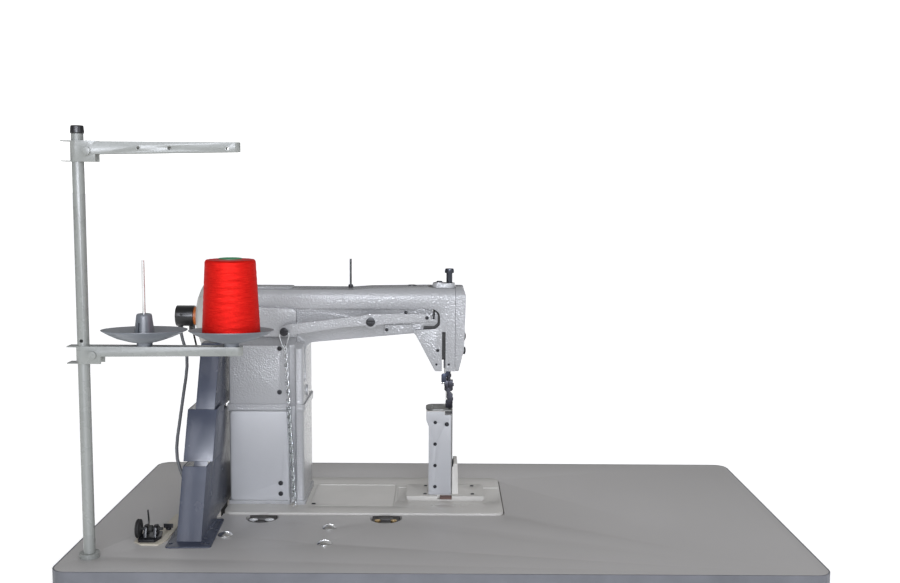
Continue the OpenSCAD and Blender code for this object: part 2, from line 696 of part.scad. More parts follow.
module arm_covers() {
  color(cast_paint) head() {
    for (s = [-1, 1]) translate([0, s > 0 ? col_face : -col_face - cover_t, 0]) difference() {
      along_y(0, cover_t)
        polygon(rounded_box([col_x0 + 3, riser_h + 6], [groove_x0 - 1, 261], 5));
      for (p = column_screws(s)) translate([p.x, 0, p.y]) bar_y(-1, cover_t + 1, 2.2, 16);
      if (s > 0) translate([dial_at.x, 0, dial_at.y]) bar_y(-1, cover_t + 1, 5.5, 24);
      if (s > 0) translate([lever_at.x, 0, lever_at.y])
        along_y(-1, cover_t + 1) polygon(rounded_box([-6, -14], [6, 14], 3));
    }
    // Rear cover of the upper column
    along_y(-arm_y1 - 8, -arm_y1)
      polygon(rounded([[col_x0 + 20, 273, 3], [-246, 273, 12], [groove_x1, 284, 8],
        [groove_x1, 317.5, 8], [col_x0 + 20, 321.5, 6]]));
    // Top cover
    along_z(arm_top - 3, arm_top)
      polygon(rounded_box([col_x0 + 28, -arm_y1 + 18], [-246, arm_y1 - 18], 8));
    // Small plate under the lever
    along_y(-arm_y1 + recess_d - 3, -arm_y1 + recess_d)
      polygon(rounded([[-95.7, 275.5, 2], [-49, 279.5, 2], [-49, 291.4, 2], [-95.7, 291.1, 2]], 3));
  }
}

module face_plate() {
  color(cast_paint) head() difference() {
    intersection() {
      along_y(-arm_y1, arm_y1)
        polygon(rounded([[arm_x1 + seam, head_bottom, 0], [24.3, head_bottom, 2], [face_x1 - 3, 250, 20],
          [face_x1 - 1.5, 280, 30], [face_x1, arm_top - 11, 5], [face_x1 - 4.5, arm_top + 1.4, 3],
          [arm_x1 + seam, arm_top + 1.4, 0]]));
      along_x(arm_x1 - 1, face_x1 + 1)
        polygon(rounded([[-arm_y1, head_bottom, 3], [arm_y1, head_bottom, 3],
          [arm_y1, arm_top + 2, 17], [-arm_y1, arm_top + 2, 17]], 6));
    }
    // Hollow back
    along_x(arm_x1 - 1, arm_x1 + 3)
      polygon(rounded_box([-arm_y1 + 8, head_bottom + 8], [arm_y1 - 8, arm_top - 14], 8));
    for (p = thumb_at) translate([face_x1, p.x, p.y]) {
      bar_x(-12, 2, 3.2, 24);
      bar_x(-thumb_seat, 2, p.z + gap, 36);
    }
  }
  color(cast_paint) head() for (y = [-1, 1]) for (z = [head_bottom + 20, arm_top - 30])
    translate([0, y * (arm_y1 - 4), z]) bar_x(arm_x1, arm_x1 + seam + 1, 3, 24);
}

// Open seam between the arm and the face plate; bosses behind the plate close it
seam = 0.5;
// Large screws on the face plate: Y, Z and radius
thumb_at = [[-14, 271, 7], [-14, 247.5, 6.2]];
// Depth of their spot faces from the plate's outermost face
thumb_seat = 3.6;

// Every fixed screw and plug on the outside of the machine, with the thread pin
module screws() {
  color(dark_steel) head() {
    for (s = [-1, 1]) for (p = concat(riser_screws(s), column_screws(s)))
      translate([p.x, s * (col_face + cover_t), p.y])
        rotate([0, 0, s > 0 ? 180 : 0]) slotted_screw(3.8, 1.2, cover_t + 6);
    for (p = arm_screw_at) translate([p.x, -p.z, p.y]) slotted_screw(p[3], 0.8, 4);
    translate([-91.8, -arm_y1 + recess_d - 3, 283.6]) slotted_screw(2.8, 0.9, 0);
    for (p = cover_screw_at) translate([p.x, p.y, bed_rise]) rotate([-90, 0, 0]) slotted_screw(3.4, 0.8, 6);
    // Pivot bolt of the lifting lever, on its spacer
    translate([pivot_x, 0, pivot_z]) {
      translate([0, lever_y0 - 1 - gap, 0]) slotted_screw(7, 3.5, 0);
      bar_y(lever_y0 - 1 - gap, -arm_y1 + recess_d + 5, pivot_d / 2);
      bar_y(lever_y0 + lever_t + gap, -arm_y1 + recess_d, 8.6);
    }
    // Plugs and thread pin on the arm's top
    for (p = [plug_at[0], plug_at[1]]) translate([p.x, p.y, 0])
      difference() {
        bar_z(arm_top - 5, arm_top + 1.7, p.z, 24);
        bar_z(arm_top - 0.4, arm_top + 3, p.z * 0.45, 6);
      }
    translate([oil_x, presser_y, 0]) {
      bar_z(pad_z - 4, pad_z + 1.3, 3.4, 24);
      bar_z(pad_z + 1.2, pad_z + 2.8, 4.6, 24);
    }
    translate([plug_at[2].x, plug_at[2].y, 0]) {
      bar_z(arm_top - 5, arm_top + 44, 1.8, 24);
      bar_z(arm_top - 2.9, arm_top + 1.5, 4, 24);
    }
    // Large screws of the face plate
    for (p = thumb_at) translate([face_x1, p.x, p.y]) {
      bar_x(-12, 0.5 - thumb_seat, 3.2, 24);
      translate([-thumb_seat, 0, 0]) rotate([0, 90, 0]) dome(p.z, thumb_seat + 1, p.z * 0.3);
    }
    // Screws of the post's cover and of its foot
    for (p = post_screw_at) translate([p.x, -post_d / 2 - post_cover_t, p.y]) slotted_screw(p.z, 0.8, 6);
    for (x = [foot_lo.x + 31, foot_hi.x - 19]) for (y = [foot_lo.y + 14, foot_hi.y - 10])
      translate([x, y, bed_rise + 1 + foot_t]) rotate([-90, 0, 0]) slotted_screw(3.2, 0.6, foot_t - 0.3);
  }
  // Screws of the hinge leaves
  color([0.7, 0.62, 0.45]) head() for (i = [0, 1]) for (s = [-1, 1])
    translate([hinge_x[i] + s * 12.5, -bed_near - cutout_gap - 21, -6]) {
      rotate([-90, 0, 0]) slotted_screw(hinge_screw_r[i], 2.8, 0);
      bar_z(-3, 0.1, 1.9, 16);
    }
}

// ---- Lifting lever, chain, presser and needle ----

module lifter_lever() {
  color(cast_paint) head() difference() {
    union() {
      along_y(lever_y0, lever_y0 + lever_t)
        polygon(rounded([[lever_end_x - 8, pivot_z - 22, 5.5], [lever_end_x + 9, pivot_z - 22, 4],
          [-156, pivot_z - 8.6, 30], [pivot_x - 10, pivot_z - 6.4, 10], [pivot_x + 10, pivot_z - 5, 8],
          [pivot_x + lever_short - 5, pivot_z + 1.6, 1], [lift_pin.x + 4, pivot_z + 1.8, 1],
          [lift_pin.x + 4, pivot_z + 4.5, 1], [lift_pin.x - 4, pivot_z + 4.5, 0.6],
          [lift_pin.x - 5.5, pivot_z + 12.6, 3],
          [pivot_x + 12, pivot_z + 12, 20], [pivot_x, pivot_z + 13, 20], [pivot_x - 14, pivot_z + 9, 20],
          [lever_end_x + 6, pivot_z - 5.5, 8], [lever_end_x - 8, pivot_z - 10, 5.5]], 4));
      // Bosses round the pivot and the stud
      translate([pivot_x, 0, pivot_z]) bar_y(lever_y0 - 1, lever_y0 + lever_t, 10);
      translate([pivot_x + lever_short - 5, 0, pivot_z + 7]) bar_y(lever_y0 - 0.8, lever_y0 + lever_t, 5.4);
    }
    translate([pivot_x, 0, pivot_z]) bar_y(lever_y0 - 2, lever_y0 + lever_t + 1, pivot_d / 2 + run);
    translate([lever_end_x, 0, pivot_z - 16]) bar_y(lever_y0 - 1, lever_y0 + lever_t + 1, 6.6 * 0.45, 16);
    translate([pivot_x + lever_short - 5, 0, pivot_z + 7]) bar_y(lever_y0 - 2, lever_y0 + lever_t + 1, 2.9 * 0.45, 16);
  }
}

// Hook screw at the chain's end, and the stud that pushes the presser up
module lever_screws() {
  color(dark_steel) head() {
    translate([lever_end_x, lever_y0 - 6, pivot_z - 16]) slotted_screw(6.6, 3, lever_t + 6.5);
    translate([pivot_x + lever_short - 5, lever_y0 - 0.8, pivot_z + 7]) slotted_screw(2.9, 1.3, lever_t);
  }
}

// The chain hangs a little aslant, from the lever to the hole in the bed
chain_a = [lever_end_x + 1, chain_y, chain_top - 10];
chain_b = [chain_x1, chain_y, bed_rise + 5];
chain_run = norm(chain_a - chain_b);
chain_links = floor((chain_top - 10 - chain_bottom) / chain_pitch) - 1;

module chain_link() {
  l = chain_pitch + 2 * chain_wire;
  w = 3;
  rotate([90, 0, 0]) translate([0, 0, -chain_wire / 2]) linear_extrude(chain_wire) difference() {
    polygon(rounded_box([-w, -l], [w, 0], w - 0.1, 3));
    polygon(rounded_box([chain_wire - w, chain_wire - l], [w - chain_wire, -chain_wire], 0.9, 2));
  }
}

module along_chain() {
  lean = atan2(chain_b.x - chain_a.x, chain_a.z - chain_b.z);
  head() translate(chain_a) rotate([0, -lean, 0]) children();
}

module chain() {
  color(steel) {
    along_chain() for (i = [0 : chain_links - 1])
      translate([0, 0, chain_wire - i * chain_pitch]) rotate([0, 0, (i % 2) * 90 + 25]) chain_link();
    // Wire bail that hangs from the lever's screw
    head() translate([lever_end_x, chain_y, 0]) difference() {
      along_y(-1, 1) polygon(rounded_box([-8.5, chain_top - 12], [8.5, bail_top + 2], 8.4));
      along_y(-2, 2) polygon(rounded_box([-6.5, chain_top - 10], [6.5, bail_top], 6.4));
    }
  }
}

module chain_sleeve() {
  color([0.8, 0.82, 0.82, 0.5]) along_chain() translate([0, 0, -chain_run + 8]) difference() {
    cylinder(r = 4, h = chain_run * 0.58, $fn = 32);
    translate([0, 0, -1]) cylinder(r = 3.4, h = chain_run, $fn = 32);
  }
}

module presser_screw() {
  z1 = pad_z + 23;
  color(dark_steel) head() translate([presser_x, presser_y, 0]) difference() {
    union() {
      bar_z(arm_top - 16, z1 - 3, 5);
      bar_z(z1 - 7, z1, 6.9);
      for (i = [0 : 11]) rotate([0, 0, i * 30]) translate([6.5, -0.5, z1 - 6.8]) cube([0.9, 1, 6.4]);
    }
    translate([-8, -0.8, z1 - 1.6]) cube([16, 1.6, 4]);
  }
}

module presser_bar() {
  color(steel) head() translate([presser_x, presser_y, 0]) {
    bar_z(184, arm_top - 26, presser_bar_d / 2);
    // Lifting block, collar and spring seat inside the head
    translate([-6, -8.6, 272]) cube([12, 13, 14]);
    bar_z(288, 292, 5.4);
  }
  // Arm and pin that rest on the lever's tip
  color(steel) head() {
    along_y(lift_arm_y, lift_arm_y + 2.2)
      polygon(rounded([[presser_x - 5, 273, 0], [presser_x - 5, 285, 3], [lift_pin.x + 3, 309, 2],
        [lift_pin.x - 2.4, 309, 2], [lift_pin.x - 2.4, 303, 2], [presser_x - 8, 273, 2]], 3));
    translate([lift_pin.x, 0, lift_pin.y]) bar_y(lever_y0 + 0.5, lift_arm_y + 0.1, lift_pin_r, 24);
  }
  // Collar under the head
  color(dark_steel) head() translate([presser_x, presser_y, 0])
    bar_z(head_bottom - 13, head_bottom - 8.4, 4.4);
}

// Clamp block, neck and guard in one, with the arm that carries the roller beside it
module roller_bracket() {
  x0 = wheel_x + roller_w + gap;
  z0 = post_h + 2.4;
  color(black) head() difference() {
    union() {
      translate([presser_x - 7, presser_y - 6, 183]) cube([14, 12, 15.5]);
      along_y(presser_y - 6, presser_y + 1.6)
        polygon(rounded([[1.8, 184, 0], [3, 181.4, 1], [5.4, 181, 1], [5.4, z0 + 17, 2], [6.8, z0 + 13.5, 1],
          [3.5, z0 + 11, 2.5], [3.5, z0, 0.8], [15.5, z0, 0.8], [15.5, z0 + 5, 3], [13.2, z0 + 12, 3],
          [14.2, z0 + 17, 2], [14.2, z0 + 24, 2], [10.6, z0 + 26, 1], [10.6, 181, 1], [14, 181.4, 1],
          [15.4, 184, 0]], 4));
      // Arm to the roller's axle, beside the wheel
      along_x(x0, x0 + 3)
        polygon(rounded([[presser_y - 5, z0 + 22, 2], [presser_y - 5, z0 + 6, 4], [-5, roller_z - 5, 4],
          [5, roller_z - 5, 4.8], [5, roller_z + 5, 4.8], [-2, roller_z + 6, 3], [presser_y + 5, z0 + 22, 2]]));
      translate([0, 0, roller_z]) bar_x(wheel_x, x0 + 4, 2.5, 24);
      // Head of the clamp screw
      translate([presser_x + 7, presser_y - 1, 191]) bar_x(-0.01, 1.6, 2.6, 24);
    }
    translate([presser_x, presser_y, 0]) bar_z(182, 200, presser_bar_d / 2);
    translate([presser_x - 8, presser_y - 3, 191]) rotate([0, 90, 0]) cylinder(r = 1.2, h = 5, $fn = 16);
    // Saw cut of the clamp
    translate([presser_x - 0.6, presser_y - 7, 186]) cube([1.2, 6, 13]);
  }
}

module presser_roller() {
  color(steel) head() translate([0, 0, roller_z]) difference() {
    bar_x(wheel_x, wheel_x + roller_w, roller_r, 72);
    bar_x(wheel_x - 1, wheel_x + roller_w + 1, 2.5 + run, 24);
    for (i = [0 : 5]) rotate([i * 60, 0, 0]) translate([0, 0, 7.4]) bar_x(wheel_x - 1, wheel_x + 9, 1.6, 16);
    // Knurl of the rim
    for (i = [0 : 35]) rotate([i * 10, 0, 0]) translate([wheel_x - 1, -0.25, roller_r - 0.3]) cube([9, 0.5, 1]);
  }
}

// Plane and pivot (X, Z) of the hand lever
hand_y = -31;
hand_pivot = [6.2, 236];

// Hand lever that holds the presser up; its tab hangs below the head
module hand_lifter() {
  color([0.4, 0.44, 0.52]) head() {
    along_y(hand_y, hand_y + 3)
      polygon(rounded([[-3.4, 197, 3.8], [4.4, 197, 3.8], [4.4, 206, 1], [9.2, 210.5, 2], [9.2, 239, 2.6],
        [3.6, 239, 2.6], [3.6, 213.5, 0.8], [2.6, 212, 0.8], [-3.4, 212, 3.4]]));
    translate([hand_pivot.x, 0, hand_pivot.y]) bar_y(hand_y - 4.5, hand_y + 0.1, 2, 24);
  }
}

module needle_bar() {
  color(steel) head() translate([needle_x, 0, 0]) difference() {
    union() {
      bar_z(bar_bottom, 330, needle_bar_d / 2);
      // Driving clamp inside the head
      translate([-5, -5, 268]) cube([10, 10, 12]);
      // Needle clamp and its screw
      bar_z(bar_bottom, bar_bottom + 9, needle_bar_d / 2 + 0.01);
      translate([0, 0, bar_bottom + 5]) bar_x(-8, -3, 1.4, 24);
      translate([0, 0, bar_bottom + 5]) bar_x(-8, -5, 2.4, 24);
    }
    bar_z(bar_bottom - 1, bar_bottom + 12, needle_d / 2, 24);
  }
}

module needle() {
  tip = post_h + needle_plate_t + 7;
  color(steel) head() translate([needle_x, 0, 0]) {
    bar_z(tip + 5, bar_bottom + 11, needle_d / 2, 24);
    translate([0, 0, tip]) cylinder(r1 = 0.15, r2 = needle_d / 2, h = 5, $fn = 24);
  }
}

take_up_at = [-22, 24, 296];

module take_up_lever() {
  x = take_up_at.x;
  color(steel) head() difference() {
    union() {
      along_x(x - 1.2, x + 1.2)
        polygon(rounded([[19, 291, 4.5], [28, 289, 3], [arm_y1 + 14, 305, 4], [arm_y1 + 22, 322, 3.4],
          [arm_y1 + 15, 325, 3.4], [arm_y1 + 9, 311, 3], [24, 301, 4.5]]));
      translate([0, take_up_at.y, take_up_at.z]) bar_x(x - 4, x + 4, 5);
    }
    translate([0, take_up_at.y, take_up_at.z]) bar_x(x - 6, x + 6, 2 + run);
    translate([0, arm_y1 + 17, 321]) bar_x(x - 3, x + 3, 1.4, 24);
  }
}

module tension_discs() {
  color(steel) head() translate([tension_at.x, 0, tension_at.y]) {
    bar_y(cavity_y1 + 1, arm_y1 + 26, 3, 24);
    bar_y(arm_y1, arm_y1 + 4, 8);
    for (s = [0, 1]) translate([0, arm_y1 + 5.6 + s * 1.6, 0]) {
      rotate([s * 180 - 90, 0, 0]) cylinder(r1 = 10, r2 = 14, h = 0.79, $fn = mix_n);
    }
    bar_y(arm_y1 + 8, arm_y1 + 9.2, 9);
    for (i = [0 : 3]) translate([0, arm_y1 + 9.6 + i * 2, 0]) difference() {
      bar_y(0, 1.2, 6 - i * 0.5, 24);
      bar_y(-1, 3, 4.6 - i * 0.5, 24);
    }
  }
}

module tension_nut() {
  y0 = arm_y1 + 18;
  color(steel) head() translate([tension_at.x, 0, tension_at.y]) difference() {
    union() {
      bar_y(y0, y0 + 6, 7.5);
      for (i = [0 : 17]) rotate([0, i * 20, 0]) translate([7.2, y0 + 0.4, -0.5]) cube([0.8, 5.2, 1]);
    }
    bar_y(y0 - 1, y0 + 7, 3 + run, 24);
  }
}

// ---- Drive ----

// The wheel's section is its radius against the distance from the pulley's inner end
module handwheel() {
  d = wheel_depth - 49.5;
  color([0.72, 0.72, 0.7]) head() translate([0, 0, shaft_z]) difference() {
    translate([pulley_x + 8, 0, 0]) rotate([0, -90, 0]) rotate_extrude($fn = 72)
      polygon([[shaft_d / 2 - 0.01, 0], [pulley_r, 0], [pulley_r + 1, 1.5], [pulley_r - 8, 7],
        [pulley_r - 8, 9], [pulley_r + 1, 14.5], [pulley_r + 4, 16], [wheel_r - 6, 16],
        [wheel_r, 18], [wheel_r + 0.6, 24 + d / 2], [wheel_r - 1, 29 + d], [wheel_r - 7, 34 + d],
        [50, 40 + d], [38, 45.5 + d], [24, 48.5 + d], [12, 49.5 + d], [shaft_d / 2 - 0.01, 49.5 + d]]);
    translate([pulley_x - 8.01, 0, 0]) rotate([0, 90, 0]) difference() {
      translate([0, 0, -12]) cylinder(r = wheel_r - 8, h = 12, $fn = mix_n);
      translate([0, 0, -13]) cylinder(r = pulley_r + 4, h = 14, $fn = mix_n);
    }
  }
}

module main_shaft() {
  color(steel) head() translate([0, 0, shaft_z]) {
    bar_x(pulley_x - wheel_depth - 3, -11, shaft_d / 2 - 0.01);
    // Collar inside the bearing wall
    bar_x(col_x0 + wall + gap, col_x0 + wall + 8, 11);
    // Crank disc with its counterweight and pin
    difference() {
      bar_x(-13, -8, 21);
      translate([-14, -22, 4]) cube([8, 12, 20]);
      translate([-14, 10, 4]) cube([8, 12, 20]);
    }
    translate([0, 0, 14]) bar_x(-8.01, -3, 3, 24);
    // Bevel gear that drives the upright shaft
    translate([upright_x - gear_r - gap, 0, 0]) rotate([0, 90, 0])
      bevel_gear(gear_r, gear_r, 6, shaft_d / 2 - 0.02, gear_teeth);
  }
}

module upright_shaft() {
  color(steel) head() translate([upright_x, 0, 0]) {
    bar_z(lower_z + gear_r + gap - 4, shaft_z - gear_r - gap, lay_shaft_d / 2);
    translate([0, 0, shaft_z - gear_r - gap]) bevel_gear(gear_r, gear_r, 6, 3, gear_teeth);
    translate([0, 0, lower_z + gear_r + gap]) rotate([180, 0, 0])
      bevel_gear(gear_r, gear_r, 6, 3, gear_teeth);
    // Collar that carries the shaft on the bed
    bar_z(bed_rise + gap, bed_rise + 8, collar_r);
  }
}

module lower_shaft() {
  x0 = upright_x + gear_r + gap;
  x1 = hook_x - gear_r / 2 - gap;
  color(steel) head() translate([0, 0, lower_z]) {
    bar_x(x0, x1, lay_shaft_d / 2);
    translate([x0, 0, 0]) rotate([0, -90, 0]) bevel_gear(gear_r, gear_r, 6, 3, gear_teeth);
    translate([x1, 0, 0]) rotate([0, 90, 0]) bevel_gear(gear_r, gear_r / 2, 3, 3, gear_teeth);
    // Collar beside the rib
    bar_x(hook_rib_x - 6 - gap - 6, hook_rib_x - 6 - gap, collar_r);
  }
}

module hook_shaft() {
  color(steel) head() translate([hook_x, 0, 0]) {
    bar_z(lower_z + gear_r + gap - 4, hook_z0, 5);
    translate([0, 0, lower_z + gear_r + gap]) rotate([180, 0, 0])
      bevel_gear(gear_r / 2, gear_r, 5, 3, gear_teeth / 2);
  }
}

// Rotating hook with its point, open on top for the bobbin
module rotating_hook() {
  h = 20;
  color(steel) head() translate([hook_x, 0, hook_z0]) difference() {
    union() {
      cylinder(r = hook_r, h = h, $fn = mix_n);
      translate([0, 0, -3]) cylinder(r = 8, h = 3.01, $fn = mix_n);
    }
    translate([0, 0, 4]) cylinder(r = hook_r - 2, h = h, $fn = mix_n);
    translate([0, 0, -4]) cylinder(r = 5, h = 4, $fn = mix_n);
    // The cut that leaves the hook's point
    rotate([0, 0, 20]) translate([hook_r - 5, -3, 9]) cube([8, 15, 6]);
  }
}

module bobbin() {
  r = hook_r - 3;
  color([0.75, 0.75, 0.76]) head() translate([hook_x, 0, hook_z0 + 4.4]) difference() {
    union() {
      cylinder(r = r, h = 1, $fn = mix_n);
      cylinder(r = 4, h = 11, $fn = mix_n);
      translate([0, 0, 10]) cylinder(r = r, h = 1, $fn = mix_n);
    }
    translate([0, 0, -1]) cylinder(r = 2.9, h = 14, $fn = mix_n);
    for (i = [0 : 4]) rotate([0, 0, i * 72]) translate([7, 0, 9]) cylinder(r = 1.3, h = 3, $fn = 16);
  }
}

// ---- Post ----

post_cover_t = 3;
// Left end of the notch in the foot
notch_x0 = -8.6;
// Right edge of the post's cover, and of the groove beside it
cover_x1 = post_x1 - 2.4;
groove_post_x1 = post_x1 - 0.8;
// Screws of the post's cover: X, Z and head radius
post_screw_at = [[-12.8, 130.4, 2.9], [6.1, 127.5, 3.6], [-12.9, 94.5, 2.9], [-12.9, 58.7, 2.9], [-12.8, 23.2, 2.9]];

// Front outline of the post, as X, Z and corner radius
function post_side() = rounded([
  [post_x0, bed_rise + 1, 0], [post_x1, bed_rise + 1, 0], [post_x1, post_h - needle_plate_t, 0],
  [hook_x - hook_r - 4, post_h - needle_plate_t, 0], [hook_x - hook_r - 4, 133.5, 3],
  [post_x0, 123, 7]]);

module post_casting() {
  z1 = bed_rise + 1;
  color(cast_paint) head() difference() {
    union() {
      along_y(-post_d / 2, post_d / 2) polygon(post_side());
      // Foot, open at the rear under the cover
      along_z(z1, z1 + foot_t) polygon(rounded([[foot_lo.x, foot_lo.y, 3], [notch_x0, foot_lo.y, 0],
        [notch_x0, -post_d / 2 - post_cover_t - gap, 0], [post_x1 - gap, -post_d / 2 - post_cover_t - gap, 0],
        [post_x1 - gap, foot_lo.y, 0], [foot_hi.x, foot_lo.y, 3], [foot_hi.x, foot_hi.y, 8],
        [foot_lo.x, foot_hi.y, 8]]));
      // Bracket on the right side
      along_y(2 - post_d / 2, post_d / 2 + 4)
        polygon(rounded([[post_x1 - 0.5, z1, 0], [25.4, z1, 0], [24.7, 50, 8], [23.4, 60, 1.5],
          [post_x1 + 1.5, 60, 1], [post_x1 + 1.5, 56, 0.5], [post_x1 - 0.5, 54.5, 0]]));
    }
    // Groove beside the cover, and the mouth under the needle plate
    along_z(z1 + foot_t, post_h) translate([cover_x1, -post_d / 2 - 1]) square([groove_post_x1 - cover_x1, 7]);
    translate([3, -post_d / 2 - 1, post_h - needle_plate_t - 6]) cube([groove_post_x1 - 3, 9, 7]);
    // Hook chamber and shaft tunnel
    translate([hook_x, 0, 0]) {
      bar_z(hook_z0 - 4, post_h + 1, hook_r + 0.8);
      bar_z(0, hook_z0, 5 + run);
      bar_z(0, 16, 14.5);
    }
    translate([hook_x, -hook_r - 0.8, post_h - 12]) cube([hook_r + 4, 2 * hook_r + 1.6, 20]);
    translate([needle_x, 0, 0]) bar_z(126, post_h, needle_d / 2 + 0.8, 24);
    // Pocket of the feed wheel
    translate([0, 0, feed_z]) bar_x(wheel_x - gap, wheel_x + roller_w + gap, feed_r + 1);
    translate([wheel_x - gap, -feed_r - 1, feed_z]) cube([roller_w + 2 * gap, 2 * feed_r + 2, 30]);
    translate([0, 0, feed_z]) bar_x(wheel_x - 3, post_x1 + 1, 2.5, 24);
    // Hollow behind the cover
    translate([0, -post_d / 2 + 4, 0]) along_y(-5, 4.4)
      polygon(rounded_box([post_x0 + 4, 14], [post_x1 - 5, 112], 3));
    for (p = post_screw_at) translate([p.x, -post_d / 2, p.y]) screw_hole(p.z, 4);
    for (x = [foot_lo.x + 31, foot_hi.x - 19]) for (y = [foot_lo.y + 14, foot_hi.y - 10])
      translate([x, y, z1]) bar_z(-4, foot_t + 1, 1.9, 16);
  }
}

module post_cover() {
  foot_top = bed_rise + 1 + foot_t;
  color(cast_paint) head() translate([0, -post_d / 2 - post_cover_t, 0]) difference() {
    along_y(0, post_cover_t)
      polygon(rounded([[post_x0, foot_top + gap, 1], [cover_x1, foot_top + gap, 1],
        [cover_x1, post_h - needle_plate_t - 5.6, 0.8], [2.4, post_h - needle_plate_t - 5.6, 0.8],
        [2.4, post_h - needle_plate_t - 0.8, 0.8],
        [hook_x - hook_r - 3.6, post_h - needle_plate_t - 0.8, 1], [hook_x - hook_r - 3.6, 133.5, 3],
        [post_x0, 123, 7]]));
    for (p = post_screw_at) translate([p.x, 0, p.y]) bar_y(-1, post_cover_t + 1, p.z * 0.45, 16);
  }
}

// Fibre block that shuts the notch in the post's foot
module notch_block() {
  color([0.36, 0.24, 0.2]) head() along_z(bed_rise + 1, bed_rise + foot_t + 0.4)
    polygon(rounded_box([notch_x0 + 4, foot_lo.y + 0.6],
      [post_x1 - gap - 0.4, -post_d / 2 - post_cover_t - gap - 0.3], 1));
}

// Line between the needle plate and the lid over the hook
lid_x1 = hook_x + 12;

module needle_plate() {
  z0 = post_h - needle_plate_t;
  color(steel) head() difference() {
    along_z(z0, post_h) polygon(rounded([[lid_x1, -post_d / 2, 0], [post_x1, -post_d / 2, 3],
      [post_x1, post_d / 2, 3], [lid_x1, post_d / 2, 0]]));
    along_z(z0 - 1, post_h + 1)
      polygon(rounded_box([wheel_x - gap, -9], [wheel_x + roller_w + gap, 9], 0.5));
    translate([needle_x, 0, 0]) bar_z(z0 - 1, post_h + 1, needle_d / 2 + 0.5, 24);
    for (y = [-19, 19]) translate([needle_x + 2.6, y, 0]) bar_z(z0 + 1, post_h + 1, 2.4, 24);
  }
}

module bobbin_cover() {
  z0 = post_h - needle_plate_t + gap;
  color([0.28, 0.29, 0.31]) head() difference() {
    along_z(z0, post_h) polygon(rounded([[lid_x1 - gap, -post_d / 2 + 1, 0],
      [lid_x1 - gap, post_d / 2 - 1, 0], [hook_x - hook_r - 5, post_d / 2 - 1, 14],
      [hook_x - hook_r - 5, -post_d / 2 + 1, 14]], 8));
    for (y = [-10, 10]) translate([hook_x - 8, y, 0]) bar_z(post_h - 0.8, post_h + 1, 3, 24);
  }
}

module feed_wheel() {
  color(steel) head() translate([0, 0, feed_z]) difference() {
    union() {
      bar_x(wheel_x, wheel_x + roller_w, feed_r, 72);
      bar_x(wheel_x - 2.6, post_x1 - 0.2, 2.5 - run, 24);
    }
    for (i = [0 : 47]) rotate([i * 7.5, 0, 0]) translate([wheel_x - 1, -0.25, feed_r - 0.35]) cube([9, 0.5, 1]);
  }
}

// ---- Controls on the operator's side ----

module stitch_dial() {
  y0 = col_face + cover_t + gap;
  color(black) head() translate([dial_at.x, 0, dial_at.y]) difference() {
    union() {
      bar_y(y0, y0 + 14, 20);
      bar_y(col_face - 16, y0 + 1, 5);
      for (i = [0 : 23]) rotate([0, i * 15, 0]) translate([19.6, y0 + 1, -1]) cube([1.2, 12, 2]);
    }
    bar_y(y0 + 12.6, y0 + 15, 15);
  }
}

module reverse_lever() {
  y0 = col_face - 14;
  color(cast_paint) head() translate([lever_at.x, 0, lever_at.y]) difference() {
    union() {
      along_x(-3.5, 3.5) polygon(rounded([[y0 - 5, -5, 4.8], [y0 + 8, -6, 2], [col_y1 + 12, -9, 12],
        [col_y1 + 46, -22, 5], [col_y1 + 50, -14, 5], [col_y1 + 14, 0, 10], [y0 + 8, 5, 3], [y0 - 5, 5, 4.8]]));
      translate([0, col_y1 + 46, -17.5]) bar_x(-12, 12, 6.5);
    }
    translate([0, y0, 0]) bar_x(-5, 5, 2 + run, 24);
  }
}

// ---- Synchroniser, belt and guard ----

sync_x1 = pulley_x + 8 - wheel_depth - 6.5;

module sync_body() {
  x1 = sync_x1;
  color(black) head() translate([0, 0, shaft_z]) difference() {
    union() {
      bar_x(x1 - 28.6, x1, 17);
      // Cable gland
      translate([x1 - 24, 2, 0]) bar_z(-22, -14, 4.2, 24);
      translate([x1 - 9, -3, -23]) cube([9, 6, 8]);
    }
    bar_x(x1 - 14, x1 + 2, shaft_d / 2 + gap);
    translate([x1 - 19, -17.5, 4]) bar_y(0, 2, 2, 24);
    translate([x1 - 24, 2, 0]) bar_z(-23, -15, 2.8, 24);
  }
  // Rod that keeps the body from turning, hooked to the guard
  color(dark_steel) head() {
    strut([x1 - 4.5, 0, shaft_z - 20], [-389, -62, 250], 1.6);
    translate([0, -62, 250]) bar_x(-390.6, guard_up_x0, 1.6, 24);
  }
}

module sync_ring() {
  color([0.85, 0.4, 0.12]) head() translate([0, 0, shaft_z]) difference() {
    bar_x(sync_x1 + 0.4, sync_x1 + 5.6, 15);
    bar_x(sync_x1 - 1, sync_x1 + 8, shaft_d / 2 + gap);
  }
}

cable_points = [[-432, 77, 322], [-431.4, 76, 312], [-428, 73, 300], [-423, 68, 288], [-419, 62, 276],
  [-417, 54, 260], [-417, 45, 242], [-418, 36, 224], [-419, 28, 206], [-420, 20, 188], [-421, 12, 170],
  [-422, 5, 154], [-422, -1, 138], [-420, -6, 122], [-415, -10, 107], [-409, -13, 93], [-402, -15, 79],
  [-397, -15, 65], [-395, -15, 50], [-395, -15, 30], [-395, -15, 12]];

module sync_cable() {
  color([0.35, 0.36, 0.38]) tube_along(cable_points, 2.6, 8);
}

